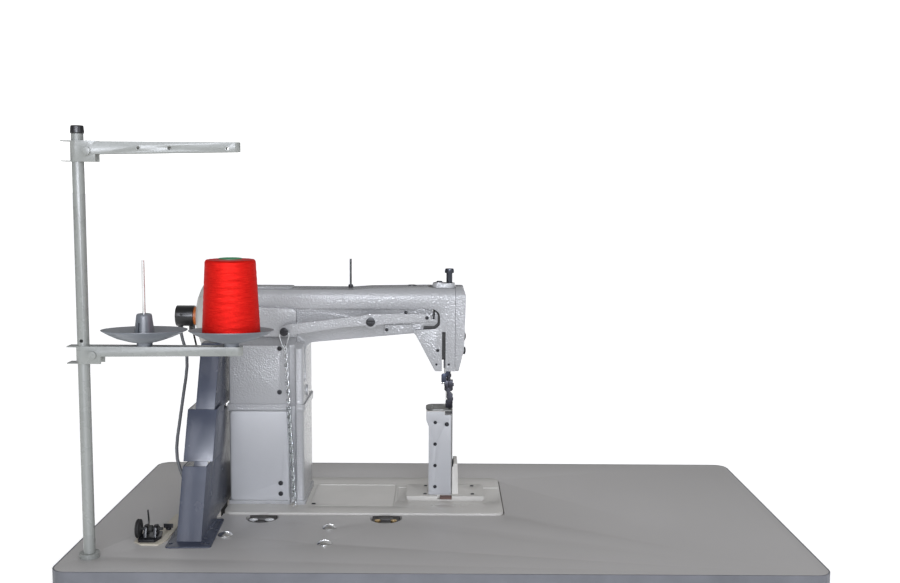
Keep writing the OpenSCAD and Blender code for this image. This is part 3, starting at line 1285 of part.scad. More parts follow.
// A soft round cable swept along a list of points
module tube_along(p, r, n) {
  k = len(p);
  dir = [for (i = [0 : k - 1])
    let (d = p[min(i + 1, k - 1)] - p[max(i - 1, 0)]) d / norm(d)];
  pts = [for (i = [0 : k - 1])
    let (u = cross(dir[i], [1, 0, 0]), a = u / norm(u), b = cross(dir[i], a))
    for (j = [0 : n - 1]) p[i] + r * (a * cos(j * 360 / n) + b * sin(j * 360 / n))];
  faces = concat([[for (j = [0 : n - 1]) j]], [[for (j = [n - 1 : -1 : 0]) (k - 1) * n + j]],
    [for (i = [0 : k - 2]) for (j = [0 : n - 1])
      [i * n + j, (i + 1) * n + j, (i + 1) * n + (j + 1) % n, i * n + (j + 1) % n]]);
  polyhedron(pts, faces);
}

// Section of the belt, as its distance from the pulley's axis and its half width
function belt_section() = [[pulley_r - 5, -2.4], [pulley_r + 2.5, -belt_w * 0.55],
  [pulley_r + 2.5, belt_w * 0.55], [pulley_r - 5, 2.4]];

module v_belt() {
  color([0.12, 0.12, 0.12]) head() translate([pulley_x, 0, 0]) {
    // Half turn over the pulley
    difference() {
      translate([0, 0, shaft_z]) rotate([0, 90, 0]) rotate_extrude($fn = 72) polygon(belt_section());
      translate([-20, -80, shaft_z - 100]) cube([40, 160, 100]);
    }
    // The two strands, down into the table
    for (s = [0, 1]) mirror([0, s, 0])
      translate([0, 0, 1 - board_t]) rotate([0, 0, 90])
        linear_extrude(shaft_z + board_t - 1) polygon(belt_section());
  }
}

guard_up_x0 = guard_x0 + 8.5;

// Y of the guard's front at a height, in the frame of the table
function guard_y(z) = -147 + guard_lean * z;

// A channel of sheet metal, open at its far side, between two heights
module channel(x0, x1, z0, z1, out, deep0, deep1) {
  along_x(x0, x0 + sheet) polygon([[guard_y(z0) - out, z0], [guard_y(z1) - out, z1],
    [guard_y(z1) + deep1, z1], [guard_y(z0) + deep0, z0]]);
  along_x(x1 - sheet, x1) polygon([[guard_y(z0) - out, z0], [guard_y(z1) - out, z1],
    [guard_y(z1) + deep1, z1], [guard_y(z0) + deep0, z0]]);
  along_x(x0, x1) polygon([[guard_y(z0) - out, z0], [guard_y(z1) - out, z1],
    [guard_y(z1) - out + sheet * 1.1, z1], [guard_y(z0) - out + sheet * 1.1, z0]]);
}

// Lower section, with its foot and the side plate that shuts off the belt
module guard_lower() {
  x1 = guard_x0 + guard_w;
  front = [[-160, 2], [-118, 101]];
  color(guard_paint) translate([0, 0, deck]) difference() {
    union() {
      along_z(0, 2) polygon(rounded([[-394, -183, 5], [-329, -181, 5], [-336, -56, 5], [-383, -56, 5],
        [-397, -104, 5]]));
      along_x(guard_x0, guard_x0 + sheet)
        polygon([front[0], front[1], [-52, 101], [-60, 2]]);
      along_x(guard_x0, x1)
        polygon([front[0], front[1], front[1] + [sheet * 1.1, 0], front[0] + [sheet * 1.1, 0]]);
      along_x(x1 - sheet, x1) polygon(rounded([[front[0].x, 2, 0], [front[1].x, 101, 0], [-62, 101, 4],
        [-40, 160, 8], [68, 160, 6], [68, 5.5, 0], [-56, 5.5, 0], [-58, 2, 0]]));
    }
    for (p = [[-389, -168], [-336.5, -166], [-341.5, -63]])
      translate([p.x, p.y, -1]) cylinder(r = 2.6, h = 4, $fn = 24);
  }
}

module guard_middle() {
  color(guard_paint) translate([0, 0, deck])
    channel(guard_x0 - 3, guard_x0 + guard_w + 5.5, 104, 176, sheet * 1.1, 66, 52);
}

// Upper section, closed at its top, with the strap that joins the sections
module guard_upper() {
  x0 = guard_up_x0;
  x1 = x0 + 28.5;
  s = sheet * 1.1;
  color(guard_paint) translate([0, 0, deck]) {
    channel(x0, x1, 167, 270, 0, 62, 26);
    // Deeper part of the wall beside the belt
    along_x(x1 - sheet, x1) polygon([[guard_y(167) + 61, 167], [60, 167], [60, 250], [guard_y(250) + 30, 250]]);
    along_x(x0, x1) polygon([[guard_y(270), 270], [guard_y(270) + 26, 270],
      [guard_y(270) + 26, 270 - s], [guard_y(270), 270 - s]]);
    along_x(x0 + 4, x1 - 4) polygon([[guard_y(80) + s, 80], [guard_y(185) + s, 185],
      [guard_y(185) + 2 * s, 185], [guard_y(80) + 2 * s, 80]]);
  }
}

// ---- Bobbin winder ----

winder_at = [-430, -145];

module winder_plate() {
  color([0.78, 0.73, 0.62]) translate([0, 0, deck]) difference() {
    along_z(0, 2) polygon(rounded([[-430, -172, 3], [-406, -172, 4], [-398.5, -150, 3], [-398.5, -106, 3],
      [-400, -34, 5], [-416, -34, 5], [-419, -112, 3], [-444, -122, 3], [-444, -160, 6]]));
    translate([-408.5, -107, -1]) cylinder(r = 2.4, h = 4, $fn = 24);
  }
}

// Cast bracket with the two bearings of the spindle, and the clamp screw
module winder_frame() {
  x = winder_at.x;
  y = winder_at.y;
  color(black) translate([0, 0, deck]) difference() {
    union() {
      along_z(2, 6) polygon(rounded([[x - 8, y - 20, 4], [x + 17, y - 20, 3], [x + 22, y - 2, 3],
        [x + 18, y + 20, 4], [x - 8, y + 18, 4]]));
      for (x0 = [x - 2, x + 12]) along_x(x0, x0 + 4)
        polygon(rounded([[y - 10, 5, 0], [y + 10, 5, 0], [y + 6, 22, 5], [y - 6, 22, 5]]));
      translate([x - 6, y + 11, 5]) cube([3.5, 6, 12]);
      translate([-408.5, -107, 0]) {
        cylinder(r = 2.4, h = 5, $fn = 24);
        translate([0, 0, 2]) cylinder(r = 4.2, h = 3, $fn = 24);
        translate([-7, -1, 4.5]) cube([14, 2, 6]);
      }
    }
    translate([0, y, winder_r + 2]) bar_x(x - 10, x + 30, 2 + run, 24);
    translate([0, y + 14, 12]) bar_x(x - 8, x, 1.2, 24);
  }
}

module winder_wheel() {
  x = winder_at.x;
  color([0.13, 0.13, 0.14]) translate([0, winder_at.y, deck + winder_r + 2]) difference() {
    union() {
      bar_x(x - 15, x + 24, 2);
      bar_x(x - 15, x - 8.5, winder_r - gap, 60);
      bar_x(x + 4, x + 9, 5);
      bar_x(x + 17, x + 18.5, 4);
    }
    difference() {
      bar_x(x - 16, x - 13, winder_r - 3, 60);
      bar_x(x - 17, x - 12, 4, 24);
    }
  }
}

// Latch blade that stops the winder when the bobbin is full
module winder_latch() {
  x = winder_at.x;
  y = winder_at.y + 14;
  color(black) translate([0, 0, deck]) difference() {
    union() {
      along_x(x - 2.2, x - 0.8)
        polygon(rounded([[y - 4, 8, 3], [y + 4, 8, 3], [y + 6, 24, 10], [y + 1, 40, 1.2],
          [y - 1.5, 39, 1.2], [y + 1, 24, 10]]));
    }
    translate([0, y, 12]) bar_x(x - 5, x + 3, 1.2 + run, 24);
  }
  color(black) translate([0, y, deck + 12]) bar_x(x - 6, x - 2.2, 1.2 - run);
}

// ---- Thread stand ----

module stand_pole() {
  color(stand_paint) stand() {
    difference() {
      union() {
        bar_z(-board_t + 2, pole_h, pole_d / 2);
        // Foot collar and nut under the board
        bar_z(0, 7, pole_d / 2 + 5.5);
      }
      bar_z(-board_t, pole_h + 1, pole_d / 2 - pole_wall);
      translate([0, 0, 303]) bar_y(-20, 20, 2.4, 24);
    }
  }
}

module stand_cap() {
  color([0.16, 0.16, 0.17]) stand() {
    bar_z(pole_h - 8, pole_h, pole_d / 2 - pole_wall);
    translate([0, 0, pole_h]) cylinder(r1 = pole_d / 2 + 1.2, r2 = pole_d / 2 + 0.4, h = 11, $fn = mix_n);
  }
}

// Clamp that grips the pole: a folded strap with two ears and a screw
module pole_clamp(z0, z1) {
  h = z1 - z0;
  translate([0, 0, z0]) difference() {
    union() {
      cylinder(r = pole_d / 2 + sheet + run, h = h, $fn = mix_n);
      translate([0, -pole_d / 2 - sheet, 0]) cube([26, sheet * 1.2, h]);
      translate([0, pole_d / 2 - sheet * 0.2, 0]) cube([26, sheet * 1.2, h]);
      for (z = [0, h - sheet]) translate([-20, -9, z]) cube([20, 18, sheet]);
      translate([15, -pole_d / 2 - 5, h / 2]) bar_y(0, 2 * pole_d / 2 + 10, 3, 24);
      translate([15, -pole_d / 2 - sheet - 3.5, h / 2]) bar_y(0, 4, 5.5, 24);
    }
    translate([0, 0, -1]) cylinder(r = pole_d / 2 + run, h = h + 2, $fn = mix_n);
  }
}

// A tapered bar of folded sheet, open below, that starts at the clamp
module stand_arm(z_top, drop0, drop1) {
  y = pole_d / 2 + sheet;
  difference() {
    intersection() {
      along_z(z_top - drop0, z_top) polygon(rounded([[20, -y, 0], [arm_l, -y, 7.5],
        [arm_l, y, 7.5], [20, y, 0]]));
      along_y(-y, y) polygon([[20, z_top - drop0], [arm_l, z_top - drop1], [arm_l, z_top], [20, z_top]]);
    }
    along_z(z_top - drop0 - 1, z_top - sheet) polygon(rounded([[10, -y + sheet, 0],
      [arm_l - sheet, -y + sheet, 5], [arm_l - sheet, y - sheet, 5], [10, y - sheet, 0]]));
    children();
  }
}

module upper_arm() {
  z_top = upper_arm_z + 9;
  color(stand_paint) stand() {
    pole_clamp(upper_arm_z - 18, upper_arm_z + 10);
    stand_arm(z_top, 17.2, 13)
      for (x = concat(spool_x, [124])) translate([x, 0, z_top - 8.5]) bar_y(-30, 30, x == 124 ? 2.4 : 3.6, 24);
    // Thread eyelets
    for (x = spool_x) translate([x, -pole_d / 2 - sheet + 0.5, z_top - 8.5]) difference() {
      bar_y(-1, 2.5, 3.6, 24);
      bar_y(-2, 4, 2.2, 24);
    }
  }
}

module lower_arm() {
  z_top = lower_arm_z + 8;
  color(stand_paint) stand() {
    pole_clamp(lower_arm_z - 16, lower_arm_z + 8);
    stand_arm(z_top, 14, 12)
      for (x = spool_x) translate([x, 0, 0]) bar_z(z_top - 5, z_top + 1, 3, 24);
  }
}

// Dishes that the cones stand on, each with its hub
module spool_dishes() {
  z0 = lower_arm_z + 8;
  color([0.56, 0.6, 0.66]) stand() for (x = spool_x) translate([x, 0, z0]) difference() {
    rotate_extrude($fn = 72) polygon([[0, 0], [15, 0], [17, 2.5], [38, 11.5], [dish_r - 3, 19], [dish_r, 20.5],
      [dish_r, 22.5], [dish_r - 4, 21.5], [38, 14.2], [14, 6], [12, 10], [8, 30], [6.5, 44], [0, 44]]);
    translate([0, 0, -1]) cylinder(r = 2.3, h = 50, $fn = mix_n);
    // Slot of the sprung hub
    translate([-1.2, -14, 14]) cube([2.4, 28, 22]);
  }
}

module spool_pins() {
  z0 = lower_arm_z + 8;
  color(steel) stand() for (x = spool_x) translate([x, 0, 0]) {
    bar_z(z0 - 5, z0 + stand_pin_h - 10, 2.3);
    bar_z(z0 - 9, z0 - sheet, 5, 6);
  }
}

module thread_cone() {
  top_r = cone_r * 0.86;
  color([0.85, 0.12, 0.08]) stand() translate([spool_x[1], 0, cone_z]) rotate_extrude($fn = 72)
    polygon(rounded([[cone_core_r0 + 0.01, 2, 0], [cone_r - 2, 1, 1.5], [cone_r, 5, 4], [top_r + 0.3, cone_h - 3, 3],
      [top_r - 5, cone_h, 2], [cone_core_r1 + 0.01, cone_h - 1.5, 0]], 3));
}

cone_core_r0 = 20.5;
cone_core_r1 = 16;

module cone_core() {
  color([0.2, 0.55, 0.3]) stand() translate([spool_x[1], 0, cone_z]) difference() {
    union() {
      translate([0, 0, 2]) cylinder(r1 = cone_core_r0, r2 = cone_core_r1, h = cone_h - 3.5, $fn = 60);
      translate([0, 0, cone_h - 1.51]) cylinder(r1 = cone_core_r1, r2 = cone_core_r1 - 2.5, h = 3.5, $fn = 60);
    }
    translate([0, 0, 1]) cylinder(r1 = cone_core_r0 - 2, r2 = cone_core_r1 - 3, h = cone_h - 3, $fn = 60);
    translate([0, 0, cone_h - 6]) cylinder(r = 9, h = 12, $fn = 60);
  }
}

// ---- Assembly ----

table_board();
table_edge_band();
motor_bolts();
bed_hinges();
bed_plate();
bed_cover();
screws();
riser_column();
riser_covers();
arm_casting();
arm_covers();
face_plate();
lifter_lever();
lever_screws();
chain();
chain_sleeve();
presser_screw();
presser_bar();
roller_bracket();
presser_roller();
hand_lifter();
needle_bar();
needle();
take_up_lever();
tension_discs();
tension_nut();
handwheel();
main_shaft();
upright_shaft();
lower_shaft();
hook_shaft();
rotating_hook();
bobbin();
post_casting();
post_cover();
notch_block();
needle_plate();
bobbin_cover();
feed_wheel();
stitch_dial();
reverse_lever();
sync_body();
sync_ring();
sync_cable();
v_belt();
guard_lower();
guard_middle();
guard_upper();
winder_plate();
winder_frame();
winder_wheel();
winder_latch();
stand_pole();
stand_cap();
upper_arm();
lower_arm();
spool_dishes();
spool_pins();
thread_cone();
cone_core();
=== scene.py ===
import bpy
import json
import math
from mathutils import Euler, Matrix, Vector
from mathutils.bvhtree import BVHTree

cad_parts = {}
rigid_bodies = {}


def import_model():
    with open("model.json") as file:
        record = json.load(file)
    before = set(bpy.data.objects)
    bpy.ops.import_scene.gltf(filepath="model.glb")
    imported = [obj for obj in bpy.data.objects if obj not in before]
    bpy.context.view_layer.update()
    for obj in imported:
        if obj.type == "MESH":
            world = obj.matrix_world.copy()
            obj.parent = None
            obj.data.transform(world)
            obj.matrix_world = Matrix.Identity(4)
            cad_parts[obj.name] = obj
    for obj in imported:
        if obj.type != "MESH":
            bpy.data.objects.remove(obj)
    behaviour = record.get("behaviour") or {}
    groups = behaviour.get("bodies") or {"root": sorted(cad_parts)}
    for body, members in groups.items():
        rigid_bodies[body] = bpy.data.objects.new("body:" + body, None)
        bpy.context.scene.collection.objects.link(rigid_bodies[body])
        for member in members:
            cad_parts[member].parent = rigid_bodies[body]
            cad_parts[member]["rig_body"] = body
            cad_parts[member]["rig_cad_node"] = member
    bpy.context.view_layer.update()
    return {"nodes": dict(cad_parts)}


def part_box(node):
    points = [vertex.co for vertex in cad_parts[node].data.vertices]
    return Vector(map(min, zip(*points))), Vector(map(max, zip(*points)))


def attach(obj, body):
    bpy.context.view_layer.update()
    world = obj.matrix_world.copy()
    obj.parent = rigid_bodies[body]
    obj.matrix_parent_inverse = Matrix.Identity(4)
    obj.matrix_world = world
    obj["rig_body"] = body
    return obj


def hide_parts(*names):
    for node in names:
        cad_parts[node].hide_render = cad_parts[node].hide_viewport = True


# Finishes and fine detail of a post-bed sewing machine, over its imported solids.
# Lengths are in metres where nothing else is said.

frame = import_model()
nodes = frame["nodes"]


# ---------------------------------------------------------------- camera

camera_data = bpy.data.cameras.new("camera")
camera = bpy.data.objects.new("camera", camera_data)
bpy.context.scene.collection.objects.link(camera)
camera_data.lens = 41.07
camera_data.sensor_width = 36
camera.location = (0.0007, -1.5967, 0.5539)
camera.rotation_euler = Euler((1.46867, -0.006865, -0.004806), "XYZ")
bpy.context.scene.camera = camera


# ---------------------------------------------------------------- mesh tools

def deselect():
    """Nothing selected and no active object."""
    if bpy.context.object and bpy.context.object.mode != "OBJECT":
        bpy.ops.object.mode_set(mode="OBJECT")
    bpy.ops.object.select_all(action="DESELECT")


def choose(piece):
    """Only this piece selected and active."""
    deselect()
    piece.hide_viewport = False
    piece.select_set(True)
    bpy.context.view_layer.objects.active = piece


def settle(piece):
    """The piece's place goes into its mesh, and its object to the origin."""
    choose(piece)
    bpy.ops.object.transform_apply(location=True, rotation=True, scale=True)
    return piece


def apply_modifiers(piece):
    """Each modifier is applied, in its order."""
    choose(piece)
    for modifier in list(piece.modifiers):
        bpy.ops.object.modifier_apply(modifier=modifier.name)


def smooth(piece, angle=35):
    """Smooth shading, with edges sharper than the angle kept crisp."""
    choose(piece)
    bpy.ops.object.shade_smooth_by_angle(angle=math.radians(angle))


def outward(piece):
    """Doubles merged and normals turned outwards."""
    choose(piece)
    bpy.ops.object.mode_set(mode="EDIT")
    bpy.ops.mesh.select_all(action="SELECT")
    bpy.ops.mesh.remove_doubles(threshold=0.000005)
    bpy.ops.mesh.normals_make_consistent(inside=False)
    bpy.ops.object.mode_set(mode="OBJECT")


def bevel_edges(piece, width, segments=3, angle=30, miter="MITER_SHARP"):
    """Edges sharper than the angle are rounded."""
    bevel = piece.modifiers.new("bevel", "BEVEL")
    bevel.width = width
    bevel.segments = segments
    bevel.limit_method = "ANGLE"
    bevel.angle_limit = math.radians(angle)
    bevel.miter_outer = miter
    apply_modifiers(piece)


def cast(node, width):
    """A casting with rounded edges, made from the node's own solid."""
    source = nodes[node]
    piece = source.copy()
    piece.data = source.data.copy()
    piece.name = node + "_cast"
    piece.data.name = piece.name
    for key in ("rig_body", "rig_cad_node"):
        if key in piece:
            del piece[key]
    piece.parent = None
    piece.matrix_world = Matrix.Identity(4)
    bpy.context.scene.collection.objects.link(piece)
    choose(piece)
    bpy.ops.object.mode_set(mode="EDIT")
    bpy.ops.mesh.select_all(action="SELECT")
    bpy.ops.mesh.remove_doubles(threshold=0.000002)
    bpy.ops.mesh.dissolve_limited(angle_limit=math.radians(0.5))
    bpy.ops.object.mode_set(mode="OBJECT")
    if piece.data.has_custom_normals:
        bpy.ops.mesh.customdata_custom_splitnormals_clear()
    bevel_edges(piece, width, angle=32, miter="MITER_ARC")
    smooth(piece, 40)
    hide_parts(node)
    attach(piece, source["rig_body"])
    return piece


RAY_START = 0.0002        # a ray starts this far off its own face


def second_finish(piece, material, chosen):
    """The faces that chosen(middle, normal) picks get another finish."""
    piece.data.materials.append(material)
    slot = len(piece.data.materials) - 1
    for face in piece.data.polygons:
        if chosen(face.center, face.normal):
            face.material_index = slot


def shaded_hollow(piece, material, reach, inside):
    """Faces that look at another face of their own piece close by get the material: painted shade in the
    hollow.
    """
    tree = BVHTree.FromPolygons([vertex.co.copy() for vertex in piece.data.vertices],
                                [tuple(face.vertices) for face in piece.data.polygons])

    def faces_a_wall(middle, normal):
        if not inside(middle):
            return False
        hit = tree.ray_cast(middle + normal * RAY_START, normal, reach)
        return hit[0] is not None

    second_finish(piece, material, faces_a_wall)


def outline_plate(name, points, plane, low, high):
    """A closed outline extruded along an axis; plane names the two axes that the points lie in."""
    deselect()
    bpy.ops.mesh.primitive_circle_add(vertices=len(points), radius=0.01, fill_type="NGON")
    piece = bpy.context.object
    piece.name = name
    piece.data.name = name
    axis = {"xy": 2, "xz": 1, "yz": 0}[plane]
    first, second = [i for i in range(3) if i != axis]
    for vertex, point in zip(piece.data.vertices, points):
        vertex.co[first], vertex.co[second], vertex.co[axis] = point[0], point[1], low
    rise = [0, 0, 0]
    rise[axis] = high - low
    bpy.ops.object.mode_set(mode="EDIT")
    bpy.ops.mesh.select_all(action="SELECT")
    bpy.ops.mesh.extrude_region_move(TRANSFORM_OT_translate={"value": rise})
    bpy.ops.object.mode_set(mode="OBJECT")
    outward(piece)
    return piece


def turned(name, profile, axis, centre, steps=64):
    """A turned piece: a profile of (radius, distance) pairs spun round an axis through the centre."""
    deselect()
    bpy.ops.mesh.primitive_circle_add(vertices=len(profile), radius=0.01, fill_type="NOTHING")
    piece = bpy.context.object
    piece.name = name
    piece.data.name = name
    along = {"x": Vector((1, 0, 0)), "y": Vector((0, 1, 0)), "z": Vector((0, 0, 1))}[axis]
    across = {"x": Vector((0, 0, 1)), "y": Vector((1, 0, 0)), "z": Vector((1, 0, 0))}[axis]
    for vertex, point in zip(piece.data.vertices, profile):
        vertex.co = Vector(centre) + across * point[0] + along * point[1]
    bpy.ops.object.mode_set(mode="EDIT")
    bpy.ops.mesh.select_all(action="SELECT")
    bpy.ops.mesh.spin(steps=steps, angle=2 * math.pi, center=centre, axis=along)
    bpy.ops.object.mode_set(mode="OBJECT")
    outward(piece)
    smooth(piece)
    return piece


def move(piece, offset):
    """The mesh is shifted, and the object stays at the origin."""
    for vertex in piece.data.vertices:
        vertex.co += Vector(offset)


def join(name, pieces):
    """The pieces become one object, named after what they make."""
    deselect()
    for piece in pieces:
        piece.select_set(True)
    bpy.context.view_layer.objects.active = pieces[0]
    if len(pieces) > 1:
        bpy.ops.object.join()
    pieces[0].name = name
    pieces[0].data.name = name
    return pieces[0]


def fit(piece, body, material, *replaced):
    """The piece gets its material, stands for the nodes it replaces and rides on its body."""
    piece.data.materials.clear()
    piece.data.materials.append(material)
    if replaced:
        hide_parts(*replaced)
    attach(piece, body)
    return piece


# ---------------------------------------------------------------- materials

class Finish:
    """A node material: a Principled shader with object coordinates to hang patterns on."""

    def __init__(self, name, colour, rough=0.5, metal=0.0, **sockets):
        self.material = bpy.data.materials.new(name)
        self.material.use_nodes = True
        self.tree = self.material.node_tree
        self.shader = self.tree.nodes["Principled BSDF"]
        self.shader.inputs["Base Color"].default_value = (*colour, 1)
        self.shader.inputs["Roughness"].default_value = rough
        self.shader.inputs["Metallic"].default_value = metal
        for socket, value in sockets.items():
            self.shader.inputs[socket.replace("_", " ")].default_value = value
        self.where = self.tree.nodes.new("ShaderNodeTexCoord").outputs["Object"]
        self.colour = None
        self.height = None

    def add(self, kind, **inputs):
        """A node with its settings and the values of its sockets."""
        node = self.tree.nodes.new(kind)
        for key, value in inputs.items():
            if hasattr(node, key) and key not in node.inputs:
                setattr(node, key, value)
            else:
                node.inputs[key].default_value = value
        return node

    def link(self, out, into):
        """An output joined to an input."""
        self.tree.links.new(out, into)

    def stretched(self, scale):
        """Object coordinates scaled along each axis, for marks that run one way."""
        mapping = self.add("ShaderNodeMapping")
        mapping.inputs["Scale"].default_value = scale
        self.link(self.where, mapping.inputs["Vector"])
        return mapping.outputs["Vector"]

    def noise(self, scale, detail=3.0, rough=0.5, where=None):
        """A cloudy pattern, on the object's coordinates or on stretched ones."""
        node = self.add("ShaderNodeTexNoise", Scale=scale, Detail=detail, Roughness=rough)
        self.link(where or self.where, node.inputs["Vector"])
        return node.outputs["Fac"]

    def cells(self, scale):
        """Soft round cells, for the wrinkle of stove enamel."""
        node = self.add("ShaderNodeTexVoronoi", Scale=scale)
        node.feature = "SMOOTH_F1"
        self.link(self.where, node.inputs["Vector"])
        return node.outputs["Distance"]

    def ramp(self, value, stops):
        """Colours at stops along a pattern's value."""
        node = self.add("ShaderNodeValToRGB")
        while len(node.color_ramp.elements) < len(stops):
            node.color_ramp.elements.new(0.5)
        for element, (place, colour) in zip(node.color_ramp.elements, stops):
            element.position = place
            element.color = (*colour, 1) if len(colour) == 3 else colour
        self.link(value, node.inputs["Fac"])
        return node.outputs["Color"]

    def paint(self, value, stops):
        """Colour that follows a pattern."""
        out = self.ramp(value, stops)
        self.link(out, self.shader.inputs["Base Color"])
        self.colour = out
        return self

    def stain(self, value, low, high, colour, amount):
        """A second colour laid over the first where a pattern is high."""
        mask = self.ramp(value, [(low, (0, 0, 0)), (high, (amount, amount, amount))])
        mix = self.add("ShaderNodeMix")
        mix.data_type = "RGBA"
        self.link(mask, mix.inputs["Factor"])
        if self.colour:
            self.link(self.colour, mix.inputs["A"])
        else:
            mix.inputs["A"].default_value = self.shader.inputs["Base Color"].default_value
        mix.inputs["B"].default_value = (*colour, 1)
        self.colour = mix.outputs["Result"]
        self.link(self.colour, self.shader.inputs["Base Color"])
        return self

    def gloss(self, value, low, high):
        """Roughness that follows a pattern."""
        node = self.add("ShaderNodeMapRange")
        node.inputs["To Min"].default_value = low
        node.inputs["To Max"].default_value = high
        self.link(value, node.inputs["Value"])
        self.link(node.outputs["Result"], self.shader.inputs["Roughness"])
        return self

    def bump(self, value, distance):
        """A relief of this height, over any relief laid before."""
        node = self.add("ShaderNodeBump", Strength=1.0, Distance=distance)
        self.link(value, node.inputs["Height"])
        if self.height:
            self.link(self.height, node.inputs["Normal"])
        self.height = node.outputs["Normal"]
        self.link(self.height, self.shader.inputs["Normal"])
        return self


def wrinkle_paint(name, dark, light, grain=430, depth=0.0006):
    """Stove enamel on cast iron: a fine wrinkle, soft colour clouds and a little grime."""
    finish = Finish(name, light, 0.22, Specular_IOR_Level=0.5)
    finish.paint(finish.noise(9, 3), [(0.3, dark), (0.72, light)])
    finish.stain(finish.noise(46, 5, 0.7), 0.62, 0.8, tuple(c * 0.82 for c in dark), 0.35)
    finish.gloss(finish.noise(grain * 0.5, 2), 0.1, 0.2)
    finish.bump(finish.cells(grain), depth)
    finish.bump(finish.noise(grain * 0.5, 3), depth * 0.5)
    return finish.material


def enamel(name, dark, light, rough=0.3, peel=230, grime=0.4, shine=0.5):
    """Smooth sprayed enamel with a faint orange peel."""
    finish = Finish(name, light, rough, Specular_IOR_Level=shine)
    finish.paint(finish.noise(14, 3), [(0.3, dark), (0.7, light)])
    finish.stain(finish.noise(75, 6, 0.75), 0.66, 0.84, tuple(c * 0.7 for c in dark), grime)
    finish.gloss(finish.noise(60, 3), rough * 0.8, rough * 1.3)
    finish.bump(finish.noise(peel, 2), 0.00008)
    return finish.material


def metal(name, dark, light, rough=0.3, along=None, grain=900):
    """Machined metal: tool marks along one axis, with light tarnish."""
    finish = Finish(name, light, rough, 1.0)
    finish.paint(finish.noise(60, 4), [(0.32, dark), (0.68, light)])
    finish.gloss(finish.noise(160, 4), rough * 0.7, rough * 1.4)
    scale = {None: (1, 1, 1), "x": (0.04, 1, 1), "y": (1, 0.04, 1), "z": (1, 1, 0.04)}[along]
    finish.bump(finish.noise(grain, 3, 0.6, finish.stretched(scale)), 0.00003)
    return finish.material


def plastic(name, dark, light, rough=0.45, grain=700, depth=0.00003):
    """Moulded plastic with a fine grain and faint flow clouds."""
    finish = Finish(name, light, rough)
    finish.paint(finish.noise(22, 3), [(0.3, dark), (0.7, light)])
    finish.gloss(finish.noise(90, 3), rough * 0.85, rough * 1.2)
    finish.bump(finish.noise(grain, 2), depth)
    return finish.material


def laminate():
    """Decor laminate of the table top: a fine two-tone speckle under a satin finish."""
    finish = Finish("table_laminate", (0.36, 0.345, 0.34), 0.42)
    speckle = [(0.36, (0.46, 0.445, 0.433)), (0.5, (0.53, 0.515, 0.502)), (0.66, (0.60, 0.583, 0.568))]
    finish.paint(finish.noise(1500, 2, 0.6), speckle)
    finish.stain(finish.noise(5, 2), 0.5, 0.8, (0.565, 0.549, 0.535), 0.5)
    finish.stain(finish.noise(34, 6, 0.7), 0.7, 0.85, (0.31, 0.297, 0.29), 0.25)
    finish.gloss(finish.noise(300, 2), 0.36, 0.5)
    finish.bump(finish.noise(900, 2), 0.00004)
    return finish.material


def thread_winding():
    """Cross-wound polyester thread: close bright turns with darker gaps and a silky sheen."""
    finish = Finish("red_thread", (0.50, 0.006, 0.004), 0.42, 0.35,
                    Anisotropic=0.75, Specular_IOR_Level=0.06)
    turns = finish.noise(1, 4, 0.6, finish.stretched((90, 90, 2600)))
    bands = finish.noise(1, 3, 0.5, finish.stretched((8, 8, 160)))
    finish.paint(turns, [(0.3, (0.42, 0.003, 0.002)), (0.5, (0.58, 0.008, 0.005)),
                         (0.72, (0.70, 0.022, 0.012))])
    finish.stain(bands, 0.5, 0.8, (0.42, 0.003, 0.002), 0.22)
    finish.gloss(turns, 0.36, 0.55)
    finish.bump(turns, 0.00016)
    round_z = finish.add("ShaderNodeTangent", direction_type="RADIAL", axis="Z")
    finish.link(round_z.outputs["Tangent"], finish.shader.inputs["Tangent"])
    return finish.material


def clear_plastic():
    """Clear tube that scuffs have made a little dull."""
    finish = Finish("clear_sleeve", (0.96, 0.97, 0.97), 0.05, IOR=1.16, Transmission_Weight=1.0)
    finish.gloss(finish.noise(120, 3), 0.03, 0.09)
    finish.bump(finish.noise(260, 2), 0.00005)
    return finish.material


